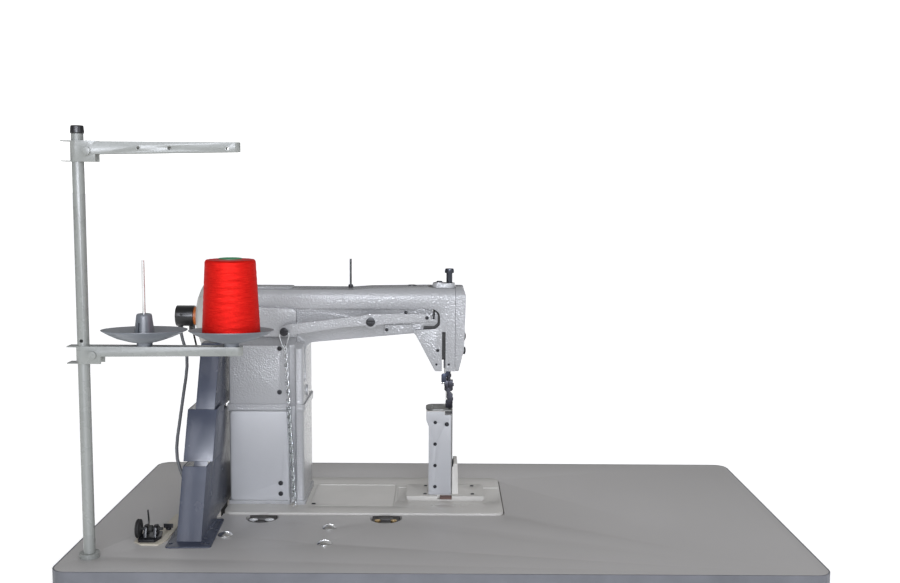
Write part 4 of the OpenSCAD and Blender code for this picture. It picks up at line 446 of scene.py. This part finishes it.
# Every paint, plastic and metal of the machine and its table
CREAM = (0.425, 0.428, 0.436)
CREAM_DARK = (0.385, 0.388, 0.396)
paint = {
    "machine": wrinkle_paint("machine_enamel", CREAM_DARK, CREAM),
    "smooth": enamel("cover_enamel", (0.46, 0.465, 0.478), (0.50, 0.505, 0.52), 0.3, 420),
    "bed": enamel("bed_enamel", (0.60, 0.582, 0.545), (0.66, 0.64, 0.60), 0.3, 420),
    "stand": enamel("stand_enamel", (0.265, 0.275, 0.258), (0.32, 0.33, 0.312), 0.26),
    "guard": enamel("guard_enamel", (0.050, 0.058, 0.088), (0.067, 0.077, 0.112), 0.24, 900, 0.1),
    "winder_base": enamel("winder_plate_enamel", (0.56, 0.51, 0.42), (0.66, 0.61, 0.50), 0.4),
    "table": laminate(),
    "edge": plastic("edge_band", (0.12, 0.125, 0.14), (0.16, 0.165, 0.185), 0.42, 500),
    "dish": plastic("dish_plastic", (0.148, 0.162, 0.182), (0.196, 0.212, 0.234), 0.34),
    "black": plastic("black_plastic", (0.006, 0.006, 0.0065), (0.015, 0.015, 0.016), 0.3),
    "rubber": plastic("belt_rubber", (0.012, 0.012, 0.012), (0.028, 0.027, 0.026), 0.75, 900, 0.00012),
    "orange": plastic("orange_ring", (0.55, 0.13, 0.02), (0.68, 0.19, 0.03), 0.4),
    "cable": plastic("cable_sheath", (0.10, 0.105, 0.115), (0.15, 0.155, 0.165), 0.5, 600),
    "core": plastic("green_core", (0.02, 0.22, 0.08), (0.03, 0.30, 0.11), 0.4),
    # Dark finish for the joints beside the face plate, and painted shade in hollows, slots and on the
    # sheet behind the head's slots
    "shade_and_joint": plastic("painted_shade_and_joint_dark", (0.010, 0.009, 0.008), (0.03, 0.027, 0.024), 0.5, 300, 0.0002),
    "steel": metal("bright_steel", (0.50, 0.50, 0.49), (0.68, 0.68, 0.67), 0.24),
    "turned": metal("turned_steel", (0.48, 0.48, 0.47), (0.64, 0.64, 0.63), 0.22, "x"),
    "chrome": metal("plated_steel", (0.62, 0.62, 0.61), (0.8, 0.8, 0.79), 0.12),
    "zinc": metal("zinc_plate", (0.42, 0.43, 0.43), (0.62, 0.63, 0.63), 0.26),
    "blued": enamel("black_oxide", (0.010, 0.010, 0.012), (0.028, 0.028, 0.033), 0.24, 600, 0.4, 0.3),
    "knob": metal("dark_knob", (0.028, 0.030, 0.036), (0.075, 0.080, 0.095), 0.24),
    "gunmetal": metal("gunmetal", (0.012, 0.012, 0.015), (0.062, 0.062, 0.074), 0.26),
    "blue_chrome": metal("blue_chrome", (0.026, 0.03, 0.044), (0.055, 0.062, 0.086), 0.2),
    "leaf": plastic("hinge_leaf", (0.035, 0.032, 0.029), (0.07, 0.064, 0.057), 0.42, 300, 0.0001),
    "brass": metal("aged_brass", (0.32, 0.22, 0.10), (0.50, 0.37, 0.19), 0.36),
    "wheel": enamel("handwheel_enamel", (0.50, 0.49, 0.46), (0.58, 0.57, 0.54), 0.28),
    "lid": metal("hook_lid", (0.16, 0.16, 0.155), (0.25, 0.25, 0.24), 0.4),
    "fibre": plastic("pressed_fibre", (0.10, 0.052, 0.04), (0.16, 0.085, 0.065), 0.6, 500, 0.0001),
    "thread": thread_winding(),
    "sleeve": clear_plastic(),
}

# Which paint or metal each node of the construction carries
finish_of_node = {
    "table_board": "table", "table_edge_band": "edge", "motor_bolts": "chrome", "bed_hinges": "leaf",
    "bed_plate": "bed", "bed_cover": "bed", "screws": "blued", "riser_column": "machine",
    "riser_covers": "smooth", "arm_casting": "machine", "arm_covers": "machine", "face_plate": "machine",
    "lifter_lever": "machine", "lever_screws": "blued", "chain": "zinc", "chain_sleeve": "sleeve",
    "presser_screw": "knob", "presser_bar": "gunmetal", "roller_bracket": "gunmetal",
    "presser_roller": "steel",
    "hand_lifter": "blue_chrome", "needle_bar": "turned", "needle": "chrome", "take_up_lever": "chrome",
    "tension_discs": "chrome", "tension_nut": "chrome", "handwheel": "wheel", "main_shaft": "turned",
    "upright_shaft": "steel", "lower_shaft": "turned", "hook_shaft": "steel", "rotating_hook": "steel",
    "bobbin": "steel", "post_casting": "bed", "post_cover": "smooth", "needle_plate": "lid",
    "notch_block": "fibre", "bobbin_cover": "lid", "feed_wheel": "steel", "stitch_dial": "black",
    "reverse_lever": "machine",
    "sync_body": "black", "sync_ring": "orange", "sync_cable": "cable", "v_belt": "rubber",
    "guard_lower": "guard", "guard_middle": "guard", "guard_upper": "guard",
    "winder_plate": "winder_base", "winder_frame": "blued", "winder_wheel": "rubber",
    "winder_latch": "blued", "stand_pole": "stand", "stand_cap": "black", "upper_arm": "stand",
    "lower_arm": "stand", "spool_dishes": "dish", "spool_pins": "chrome", "thread_cone": "thread",
    "cone_core": "core",
}
for node, finish in finish_of_node.items():
    nodes[node].data.materials.clear()
    nodes[node].data.materials.append(paint[finish])


# ---------------------------------------------------------------- cable of the synchroniser

# Course of the cable, in millimetres
CABLE_POINTS = [(-432, 77, 322), (-431.4, 76, 312), (-428, 73, 300), (-423, 68, 288), (-419, 62, 276),
                (-417, 54, 260), (-417, 45, 242), (-418, 36, 224), (-419, 28, 206), (-420, 20, 188),
                (-421, 12, 170), (-422, 5, 154), (-422, -1, 138), (-420, -6, 122), (-415, -10, 107),
                (-409, -13, 93), (-402, -15, 79), (-397, -15, 65), (-395, -15, 50), (-395, -15, 30),
                (-395, -15, 12)]
CABLE_THICK = 0.0052


def make_cable():
    """Grey lead that hangs from the synchroniser and goes down through the table."""
    points = [Vector(p) / 1000 for p in CABLE_POINTS]
    curve = bpy.data.curves.new("sensor_cable", "CURVE")
    curve.dimensions = "3D"
    spline = curve.splines.new("POLY")
    spline.points.add(len(points) - 1)
    for place, point in zip(spline.points, points):
        place.co = (*point, 1)
    curve.bevel_depth = CABLE_THICK / 2
    curve.bevel_resolution = 6
    curve.use_fill_caps = True
    cable = bpy.data.objects.new("sensor_cable", curve)
    bpy.context.scene.collection.objects.link(cable)
    curve.materials.append(paint["cable"])
    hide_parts("sync_cable")
    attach(cable, "root")


make_cable()


# ---------------------------------------------------------------- castings

# How far the edges of each casting, pressing or turned piece are rounded
EDGE_ROUNDING = {
    "arm_casting": 0.003, "riser_column": 0.0022, "bed_plate": 0.0018, "post_casting": 0.0018,
    "face_plate": 0.002, "riser_covers": 0.0014, "arm_covers": 0.0012, "post_cover": 0.0012,
    "bed_cover": 0.0008, "lifter_lever": 0.0021, "table_board": 0.0004, "screws": 0.0003,
    "lever_screws": 0.0004, "bed_hinges": 0.0005, "motor_bolts": 0.0006, "guard_lower": 0.0007,
    "guard_middle": 0.0007, "guard_upper": 0.0007, "upper_arm": 0.0006, "lower_arm": 0.0006,
    "stand_pole": 0.0005, "stand_cap": 0.0016, "sync_body": 0.0012, "presser_screw": 0.0006,
    "roller_bracket": 0.0006, "hand_lifter": 0.001, "bobbin_cover": 0.0006, "winder_frame": 0.0005,
    "winder_plate": 0.0005, "handwheel": 0.0012,
}
castings = {node: cast(node, width) for node, width in EDGE_ROUNDING.items()}

HEAD_REACH = 0.09         # a face of the head counts as inside if a wall faces it this close by
POST_REACH = 0.05
HEAD_START = -0.19        # x where the column ends and the arm's hollow may show
FACE_SEAM = 0.0183        # x of the joint between the arm and its face plate
POST_BASE = 0.05          # height above which the post's hollow may show
POST_FOOT = 0.055         # height where the strip beside the post's cover starts
STRIP_LEFT = 0.0128
STRIP_BACK = 0.053
POST_MOUTH = 0.172        # height of the mouth under the needle plate
MOUTH_NEAR = 0.0505
MOUTH_FAR = 0.06
SQUARE_ON = 0.9           # share of a normal along an axis that makes a face square to it
TURNED_TO = 0.5           # share that makes a face look that way


def darken_hollows():
    """Painted shade: the hollows of the head, post and face plate, the strip beside the post's cover and
    the mouth under the needle plate are dark where shade falls; the joint faces beside the face plate are
    dark too.
    """
    shade_and_joint = paint["shade_and_joint"]
    arm, post, face = castings["arm_casting"], castings["post_casting"], castings["face_plate"]
    shaded_hollow(arm, shade_and_joint, HEAD_REACH, lambda c: c.x > HEAD_START)
    shaded_hollow(post, shade_and_joint, POST_REACH, lambda c: c.z > POST_BASE)
    shaded_hollow(face, shade_and_joint, HEAD_REACH, lambda c: True)
    # Joint faces in the seam beside the face plate
    second_finish(face, shade_and_joint, lambda c, n: n.x < -SQUARE_ON and c.x < FACE_SEAM + 0.0013)
    second_finish(arm, shade_and_joint,
                  lambda c, n: n.x > SQUARE_ON and FACE_SEAM - 0.0007 < c.x < FACE_SEAM + 0.0003)
    # Strip of the post beside its cover, and the mouth under the needle plate: painted shade
    second_finish(post, shade_and_joint,
                  lambda c, n: (n.y < -TURNED_TO and c.z > POST_FOOT
                                and c.x > STRIP_LEFT and c.y < STRIP_BACK))
    second_finish(post, shade_and_joint,
                  lambda c, n: (n.y < -TURNED_TO and c.z > POST_MOUTH
                                and c.x > 0 and MOUTH_NEAR < c.y < MOUTH_FAR))


darken_hollows()


# ---------------------------------------------------------------- hinges, and dark sheets of painted shade

HINGE_BACK = -0.035       # y that only the hinges and their screws pass
HINGE_MIDDLE = -0.2       # x between the two hinges
HINGE_CENTRES = (-0.280, -0.088)
HINGE_TOP = 0.0335        # height above which a leaf or a head is raised
HINGE_CEILING = 0.06
HEAD_RAISE = 0.0026
LEAF_RAISE = 0.0022
STRAP_HALF = 0.0235       # half the length of a strap
STRAP_FOOT = 0.0315
STRAP_END = 0.0385        # height of a strap at its ends
STRAP_TOP = 0.0392        # height of its raised middle
STRAP_TOP_HALF = 0.019
STRAP_REAR = -0.0307
STRAP_SEAT = -0.0297
PLATE_EDGE = 0.0002       # rounding of a thin plate's edges
# Outline of the dark sheet of painted shade behind the head's slots: x and height
SHADE_SHEET = [(-0.034, 0.318), (-0.007, 0.318), (-0.007, 0.274), (0.0115, 0.274), (0.0115, 0.353),
          (-0.034, 0.353)]
SHADE_SHEET_REAR = 0.0485
SHADE_SHEET_SEAT = 0.0493


def dress_hinges():
    """Raised leaves and pan heads: plated on the left hinge, brass on the right; dark straps in the
    pockets paint the shade on the bed's front face.
    """
    screws = castings["screws"]
    for vertex in screws.data.vertices:
        if vertex.co.y < HINGE_BACK and HINGE_TOP < vertex.co.z < HINGE_CEILING:
            vertex.co.z += HEAD_RAISE
    second_finish(screws, paint["steel"],
                  lambda c, n: c.y < HINGE_BACK and c.z < HINGE_CEILING and c.x < HINGE_MIDDLE)
    second_finish(screws, paint["brass"],
                  lambda c, n: c.y < HINGE_BACK and c.z < HINGE_CEILING and c.x > HINGE_MIDDLE)
    hinges = castings["bed_hinges"]
    for vertex in hinges.data.vertices:
        if vertex.co.z > HINGE_TOP:
            vertex.co.z += LEAF_RAISE
    # Dark straps over the bed's front face in the hinge pockets: they stand for the hinges' knuckles, and
    # they are painted shade over the face that lies in shade there
    plates = []
    for x in HINGE_CENTRES:
        left, right = x - STRAP_HALF, x + STRAP_HALF
        outline = [(left, STRAP_FOOT), (right, STRAP_FOOT), (right, STRAP_END),
                   (x + STRAP_TOP_HALF, STRAP_TOP), (x - STRAP_TOP_HALF, STRAP_TOP), (left, STRAP_END)]
        plate = outline_plate("strap", outline, "xz", STRAP_REAR, STRAP_SEAT)
        bevel_edges(plate, PLATE_EDGE, 2)
        plates.append(plate)
    fit(join("hinge_shade_straps", plates), "root", paint["leaf"])


def make_shade_sheet():
    """Thin dark sheet behind the slots of the head: painted shade where the hollow shows through."""
    shade_sheet = outline_plate("head_shade_sheet", SHADE_SHEET, "xz", SHADE_SHEET_REAR, SHADE_SHEET_SEAT)
    bevel_edges(shade_sheet, PLATE_EDGE, 2)
    fit(shade_sheet, "root", paint["shade_and_joint"])


dress_hinges()
make_shade_sheet()


# ---------------------------------------------------------------- lifting chain

CHAIN_TOP = Vector((-0.2504, 0.0086, 0.302))
CHAIN_LEAN = 0.0488       # radians off the plumb line, with the lower end towards the head
CHAIN_RUN = 0.254
LINK_PITCH = 0.007
LINK_START = 0.0006       # first link above the top of the chain's line
LINK_SET = 25             # degrees that each link is turned, besides the quarter turn of every second one
LINK_RADIUS = 0.0027      # of the round link, to the middle of its wire
LINK_WIRE = 0.0008        # radius of the wire
LINK_STRETCH = 0.00215    # half of what makes the round link long
LINK_WIDTH = 0.88         # share of the width that a link keeps
LINK_TWIST = 0.5          # radians of twist at the height LINK_HALF over a link's middle
LINK_HALF = 0.0044
LINK_DROP = 0.0037        # how far the middle of a link hangs below its place on the line
BAIL_RADIUS = 0.0075
BAIL_WIRE = 0.0009
BAIL_PINCH = 0.45         # share of the bail's width that is lost at its foot
BAIL_DRAWN = 2.75         # how many times the lower half is drawn out
BAIL_PLACE = (-0.2514, 0.0086, 0.3180)


def along_chain(piece):
    """Puts a piece that hangs from the origin on the chain's line."""
    piece.rotation_euler = (0, -CHAIN_LEAN, 0)
    piece.location = CHAIN_TOP
    return settle(piece)


def make_link():
    """One twisted oval link of round wire, hanging from the origin."""
    deselect()
    bpy.ops.mesh.primitive_torus_add(major_radius=LINK_RADIUS, minor_radius=LINK_WIRE,
                                     major_segments=28, minor_segments=10, rotation=(math.pi / 2, 0, 0))
    link = bpy.context.object
    settle(link)
    for vertex in link.data.vertices:
        vertex.co.z += LINK_STRETCH if vertex.co.z > 0 else -LINK_STRETCH
        vertex.co.x *= LINK_WIDTH
        turn = LINK_TWIST * vertex.co.z / LINK_HALF
        vertex.co.xy = Matrix.Rotation(turn, 2) @ vertex.co.xy
    move(link, (0, 0, -LINK_DROP))
    return link


def make_bail():
    """Wire bail that hangs from the lever's screw: round above, drawn out and narrow below."""
    deselect()
    bpy.ops.mesh.primitive_torus_add(major_radius=BAIL_RADIUS, minor_radius=BAIL_WIRE,
                                     major_segments=48, minor_segments=12, rotation=(math.pi / 2, 0, 0))
    bail = settle(bpy.context.object)
    for vertex in bail.data.vertices:
        down = min(1.0, max(0.0, -vertex.co.z / BAIL_RADIUS))
        vertex.co.x *= 1 - BAIL_PINCH * down
        vertex.co.z *= 1.0 if vertex.co.z > 0 else BAIL_DRAWN
    move(bail, BAIL_PLACE)
    return bail


def make_chain():
    """Twisted links that hang from a wire bail."""
    first = make_link()
    links = [first]
    for i in range(1, int(CHAIN_RUN / LINK_PITCH) + 1):
        link = bpy.data.objects.new("link", first.data.copy())
        bpy.context.scene.collection.objects.link(link)
        links.append(link)
    for i, link in enumerate(links):
        link.rotation_euler = (0, 0, math.radians((i % 2) * 90 + LINK_SET))
        link.location = (0, 0, LINK_START - i * LINK_PITCH)
        settle(link)
    hanging = join("links", links)
    along_chain(hanging)
    piece = join("lifting_chain", [hanging, make_bail()])
    smooth(piece, 60)
    fit(piece, "lift_chain", paint["zinc"], "chain")


make_chain()


# ---------------------------------------------------------------- thread cone

CONE_ROWS = 54
CONE_TAPER = 0.135        # share of the base's radius that is lost by the top
CONE_END = 0.0012         # from the solid's foot or top to the winding's shoulder
CONE_SLACK = 0.0004       # how much thinner the winding is than its solid
FOOT_HOLLOW = 0.0207      # radius of the hollow at the foot
TOP_HOLLOW = 0.0162
TOP_SINK = 0.0002
FOOT_SHOULDER = 0.0016
TOP_SHOULDER = 0.0018
SHOULDER_ROWS = 1.5
CROSSING_DEPTH = 0.00007
CROSSING_START = 0.03     # radius outside which the thread's crossings show
CROSSINGS = ((2, 62), (-3, 71))  # how fast each crossing runs round the cone, and up it


def make_cone():
    """Cross-wound cone: a turned body, drawn in and out by the crossings of the thread."""
    low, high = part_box("thread_cone")
    centre = ((low + high) / 2).xy
    height = high.z - low.z
    base = (high.x - low.x) / 2
    profile = [(FOOT_HOLLOW, CONE_END)]
    for i in range(CONE_ROWS + 1):
        t = i / CONE_ROWS
        radius = base * (1 - CONE_TAPER * t) - CONE_SLACK
        # Rounded shoulders at the foot and the top
        shoulder = (FOOT_SHOULDER * max(0, 1 - t * CONE_ROWS / SHOULDER_ROWS) ** 2
                    + TOP_SHOULDER * max(0, 1 - (1 - t) * CONE_ROWS / SHOULDER_ROWS) ** 2)
        profile.append((radius - shoulder, CONE_END + t * (height - 2 * CONE_END)))
    profile.append((TOP_HOLLOW, height - TOP_SINK))
    piece = turned("wound_thread", profile, "z", (centre.x, centre.y, low.z), 128)
    for vertex in piece.data.vertices:
        out = Vector((vertex.co.x - centre.x, vertex.co.y - centre.y, 0))
        if out.length < CROSSING_START:
            continue
        angle = math.atan2(out.y, out.x)
        t = (vertex.co.z - low.z) / height
        wave = sum(math.sin(angle * turns + t * rise) for turns, rise in CROSSINGS)
        vertex.co += out.normalized() * (CROSSING_DEPTH * wave)
    smooth(piece, 50)
    fit(piece, "cone", paint["thread"], "thread_cone")


make_cone()


def make_core():
    """Moulded core of the cone, with a flanged top that stands a little proud."""
    low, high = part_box("thread_cone")
    centre = ((low + high) / 2).xy
    top = high.z - low.z
    profile = [(0.0186, 0.0022), (0.0203, 0.0022), (0.0158, top - 0.001), (0.0156, top + 0.0004),
               (0.0150, top + 0.0009), (0.0128, top + 0.0010), (0.0122, top + 0.0004),
               (0.0105, top + 0.0002), (0.0098, top - 0.0004), (0.0096, top - 0.006),
               (0.0128, top - 0.007)]
    piece = turned("cone_tube", profile, "z", (centre.x, centre.y, low.z), 72)
    fit(piece, "cone", paint["core"], "cone_core")


make_core()


# ---------------------------------------------------------------- spool dishes

# Section of a dish: radius and height, in millimetres
DISH = [(2.45, 0.0), (9.6, 0.0), (10.3, 0.5), (10.4, 3.4), (11.2, 4.6), (14, 5.4), (20, 6.5), (28, 8.9),
        (38, 12.3), (48, 16.6), (54.2, 19.8), (56.2, 20.9), (56.9, 21.7), (56.8, 22.3), (56.0, 22.5),
        (54.4, 21.9), (48, 18.8), (38, 14.3), (28, 10.7), (20, 8.2), (16.6, 7.4), (15.2, 8.2), (14.6, 10),
        (13.2, 20), (11.6, 32), (10.6, 40.5), (10.1, 42.6), (9.0, 43.7), (7.4, 44), (2.45, 44)]
DISH_RADIUS = 0.057
RIM_TILT = 0.0030         # how far the edge is lower on one side, and higher on the other
RIM_START = 0.036         # radius from which the dish tilts
RIM_WIDTH = 0.021
SLIT = (0.0024, 0.05, 0.0175)
SLIT_MIDDLE = 0.0235
SLIT_TURNS = (-20, 65)    # degrees, left and right dish


def make_dish(name, place, turn):
    """Moulded dish with a neck, a soft rim and a slit hub that grips the spool."""
    dish = turned(name, [(r / 1000, z / 1000) for r, z in DISH], "z", (0, 0, 0), 112)
    deselect()
    bpy.ops.mesh.primitive_cube_add(size=1, location=(0, 0, SLIT_MIDDLE))
    slit = bpy.context.object
    slit.scale = SLIT
    slit.rotation_euler = (0, 0, math.radians(turn))
    settle(slit)
    cut = dish.modifiers.new("slit", "BOOLEAN")
    cut.operation = "DIFFERENCE"
    cut.solver = "EXACT"
    cut.object = slit
    apply_modifiers(dish)
    bpy.data.objects.remove(slit)
    # The rim is lower on the machine's side
    for vertex in dish.data.vertices:
        reach = min(1.0, max(0.0, (vertex.co.xy.length - RIM_START) / RIM_WIDTH))
        vertex.co.z -= RIM_TILT * vertex.co.y / DISH_RADIUS * reach * reach * (3 - 2 * reach)
    dish.location = place
    settle(dish)
    outward(dish)
    smooth(dish, 40)
    return dish


def make_dishes():
    """One dish for each spool, with their slits turned apart."""
    low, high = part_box("spool_dishes")
    middle = (low.y + high.y) / 2
    dishes = [make_dish("dish", (x, middle, low.z), turn)
              for x, turn in zip((low.x + DISH_RADIUS, high.x - DISH_RADIUS), SLIT_TURNS)]
    fit(join("moulded_dishes", dishes), "lower_swing", paint["dish"], "spool_dishes")


make_dishes()


# ---------------------------------------------------------------- bobbin winder

# Section of the pulley and its spindle: radius and distance along the spindle, in millimetres
PULLEY = [(0, 0), (2.1, 0), (2.4, 0.8), (4.2, 1), (4.6, 1.8), (4.6, 3.4), (8.8, 3.8), (9.4, 3),
          (10.4, 3), (11, 1.6), (13.1, 1.2), (13.7, 1.8), (13.7, 3), (12, 3.6), (12, 4.8), (13.7, 5.4),
          (13.7, 6), (12.4, 6.6), (6, 6.6), (5.6, 7.8), (2.1, 8), (2.1, 19), (4.6, 19.1), (5, 19.6),
          (5, 23.4), (4.6, 23.9), (2.1, 24), (2.1, 32.1), (3.6, 32.2), (4, 32.6), (4, 33.3),
          (3.6, 33.6), (2.1, 33.8), (2, 38.5), (1.2, 39), (0, 39)]


def make_winder_wheel():
    """Grooved rubber-tyred pulley, its spindle, two collars and the bobbin stop."""
    low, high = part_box("winder_wheel")
    centre = (0, (low.y + high.y) / 2, (low.z + high.z) / 2)
    profile = [(r / 1000, low.x + along / 1000) for r, along in PULLEY]
    piece = turned("winder_pulley", profile, "x", centre, 72)
    fit(piece, "winder", paint["rubber"], "winder_wheel")


make_winder_wheel()


# ---------------------------------------------------------------- stage

FLOOR_SIZE = 120
FLOOR_HEIGHT = -0.0005
FLOOR_GLOW = 0.62
SKY_LIGHT = 0.4           # strength of the sky that lights the machine
SKY_SEEN = 1.6            # strength of the sky that the camera sees
# Height of the sky, from the horizon up, and its colour there
SKY_COLOURS = ((0.0, (0.40, 0.41, 0.44)), (0.12, (0.62, 0.64, 0.68)), (0.4, (1.05, 1.06, 1.08)),
               (0.85, (0.68, 0.67, 0.66)))
# Name, direction it shines from, strength, angle across in degrees, colour
SUNS = (("key", (0.16, -1.0, 0.2), 1.8, 45, (0.94, 0.98, 1.08)),
        ("fill", (0.8, -0.55, 0.5), 0.25, 60, (0.97, 0.99, 1.03)),
        ("back", (0.2, 0.9, 0.8), 0.2, 60, (1, 1, 1)))
# Name, place, width, height, power, and the point it faces
BOXES = (("left_box", (-1.15, -1.75, 1.15), 0.35, 0.9, 5, (-0.3, 0.0, 0.25)),
         ("front_box", (-0.15, -1.75, 1.75), 1.0, 0.2, 4, (-0.15, 0.05, 0.3)),
         ("low_box", (-0.15, -2.4, 0.84), 1.6, 0.28, 34, (-0.15, 0.05, 0.35)),
         ("right_box", (1.3, -1.3, 0.9), 0.4, 0.9, 4, (0, 0, 0.25)))
BOX_COLOUR = (0.94, 0.97, 1.06)


def make_floor():
    """Pale paper that glows a little, so that it stays white."""
    deselect()
    bpy.ops.mesh.primitive_plane_add(size=FLOOR_SIZE, location=(0, 0, FLOOR_HEIGHT))
    floor = bpy.context.object
    floor.name = "floor"
    finish = Finish("floor_paper", (0.95, 0.95, 0.95), 0.9)
    finish.shader.inputs["Emission Color"].default_value = (1, 1, 1, 1)
    finish.shader.inputs["Emission Strength"].default_value = FLOOR_GLOW
    floor.data.materials.append(finish.material)


def make_sky():
    """White sky for the eye, and a softer, patchy one for the light and the gleams."""
    world = bpy.data.worlds.new("studio")
    bpy.context.scene.world = world
    world.use_nodes = True
    tree = world.node_tree
    where = tree.nodes.new("ShaderNodeTexCoord").outputs["Generated"]
    split = tree.nodes.new("ShaderNodeSeparateXYZ")
    ramp = tree.nodes.new("ShaderNodeValToRGB")
    while len(ramp.color_ramp.elements) < len(SKY_COLOURS):
        ramp.color_ramp.elements.new(0.5)
    for element, (place, colour) in zip(ramp.color_ramp.elements, SKY_COLOURS):
        element.position = place
        element.color = (*colour, 1)
    patches = tree.nodes.new("ShaderNodeTexNoise")
    patches.inputs["Scale"].default_value = 2.2
    patches.inputs["Detail"].default_value = 1.0
    spread = tree.nodes.new("ShaderNodeMapRange")
    for socket, value in (("From Min", 0.38), ("From Max", 0.62), ("To Min", 0.7), ("To Max", 1.2)):
        spread.inputs[socket].default_value = value
    dim = tree.nodes.new("ShaderNodeVectorMath")
    dim.operation = "SCALE"
    sky = tree.nodes["Background"]
    sky.inputs["Strength"].default_value = SKY_LIGHT
    seen = tree.nodes.new("ShaderNodeBackground")
    seen.inputs["Color"].default_value = (1.0, 1.0, 1.0, 1)
    seen.inputs["Strength"].default_value = SKY_SEEN
    ray = tree.nodes.new("ShaderNodeLightPath")
    mix = tree.nodes.new("ShaderNodeMixShader")
    for out, into in ((where, split.inputs["Vector"]),
                      (split.outputs["Z"], ramp.inputs["Fac"]),
                      (where, patches.inputs["Vector"]),
                      (patches.outputs["Fac"], spread.inputs["Value"]),
                      (ramp.outputs["Color"], dim.inputs["Vector"]),
                      (spread.outputs["Result"], dim.inputs["Scale"]),
                      (dim.outputs["Vector"], sky.inputs["Color"]),
                      (ray.outputs["Is Camera Ray"], mix.inputs["Fac"]),
                      (sky.outputs["Background"], mix.inputs[1]),
                      (seen.outputs["Background"], mix.inputs[2]),
                      (mix.outputs["Shader"], tree.nodes["World Output"].inputs["Surface"])):
        tree.links.new(out, into)


def make_light(name, kind, power, colour):
    """A light of the kind, in the scene and not yet aimed."""
    data = bpy.data.lights.new(name, kind)
    data.energy = power
    data.color = colour
    light = bpy.data.objects.new(name, data)
    bpy.context.scene.collection.objects.link(light)
    return light


def make_lights():
    """Broad suns that light the machine, and boxes that only gleam in its paint."""
    for name, toward, strength, angle, colour in SUNS:
        light = make_light(name, "SUN", strength, colour)
        light.data.angle = math.radians(angle)
        light.rotation_euler = Vector(toward).to_track_quat("Z", "Y").to_euler()
    for name, place, width, height, power, aim in BOXES:
        light = make_light(name, "AREA", power, BOX_COLOUR)
        light.data.shape = "RECTANGLE"
        light.data.size = width
        light.data.size_y = height
        light.location = place
        light.visible_diffuse = False
        light.rotation_euler = (Vector(aim) - Vector(place)).to_track_quat("-Z", "Y").to_euler()


make_floor()
make_sky()
make_lights()
bpy.context.scene.view_settings.view_transform = "Standard"
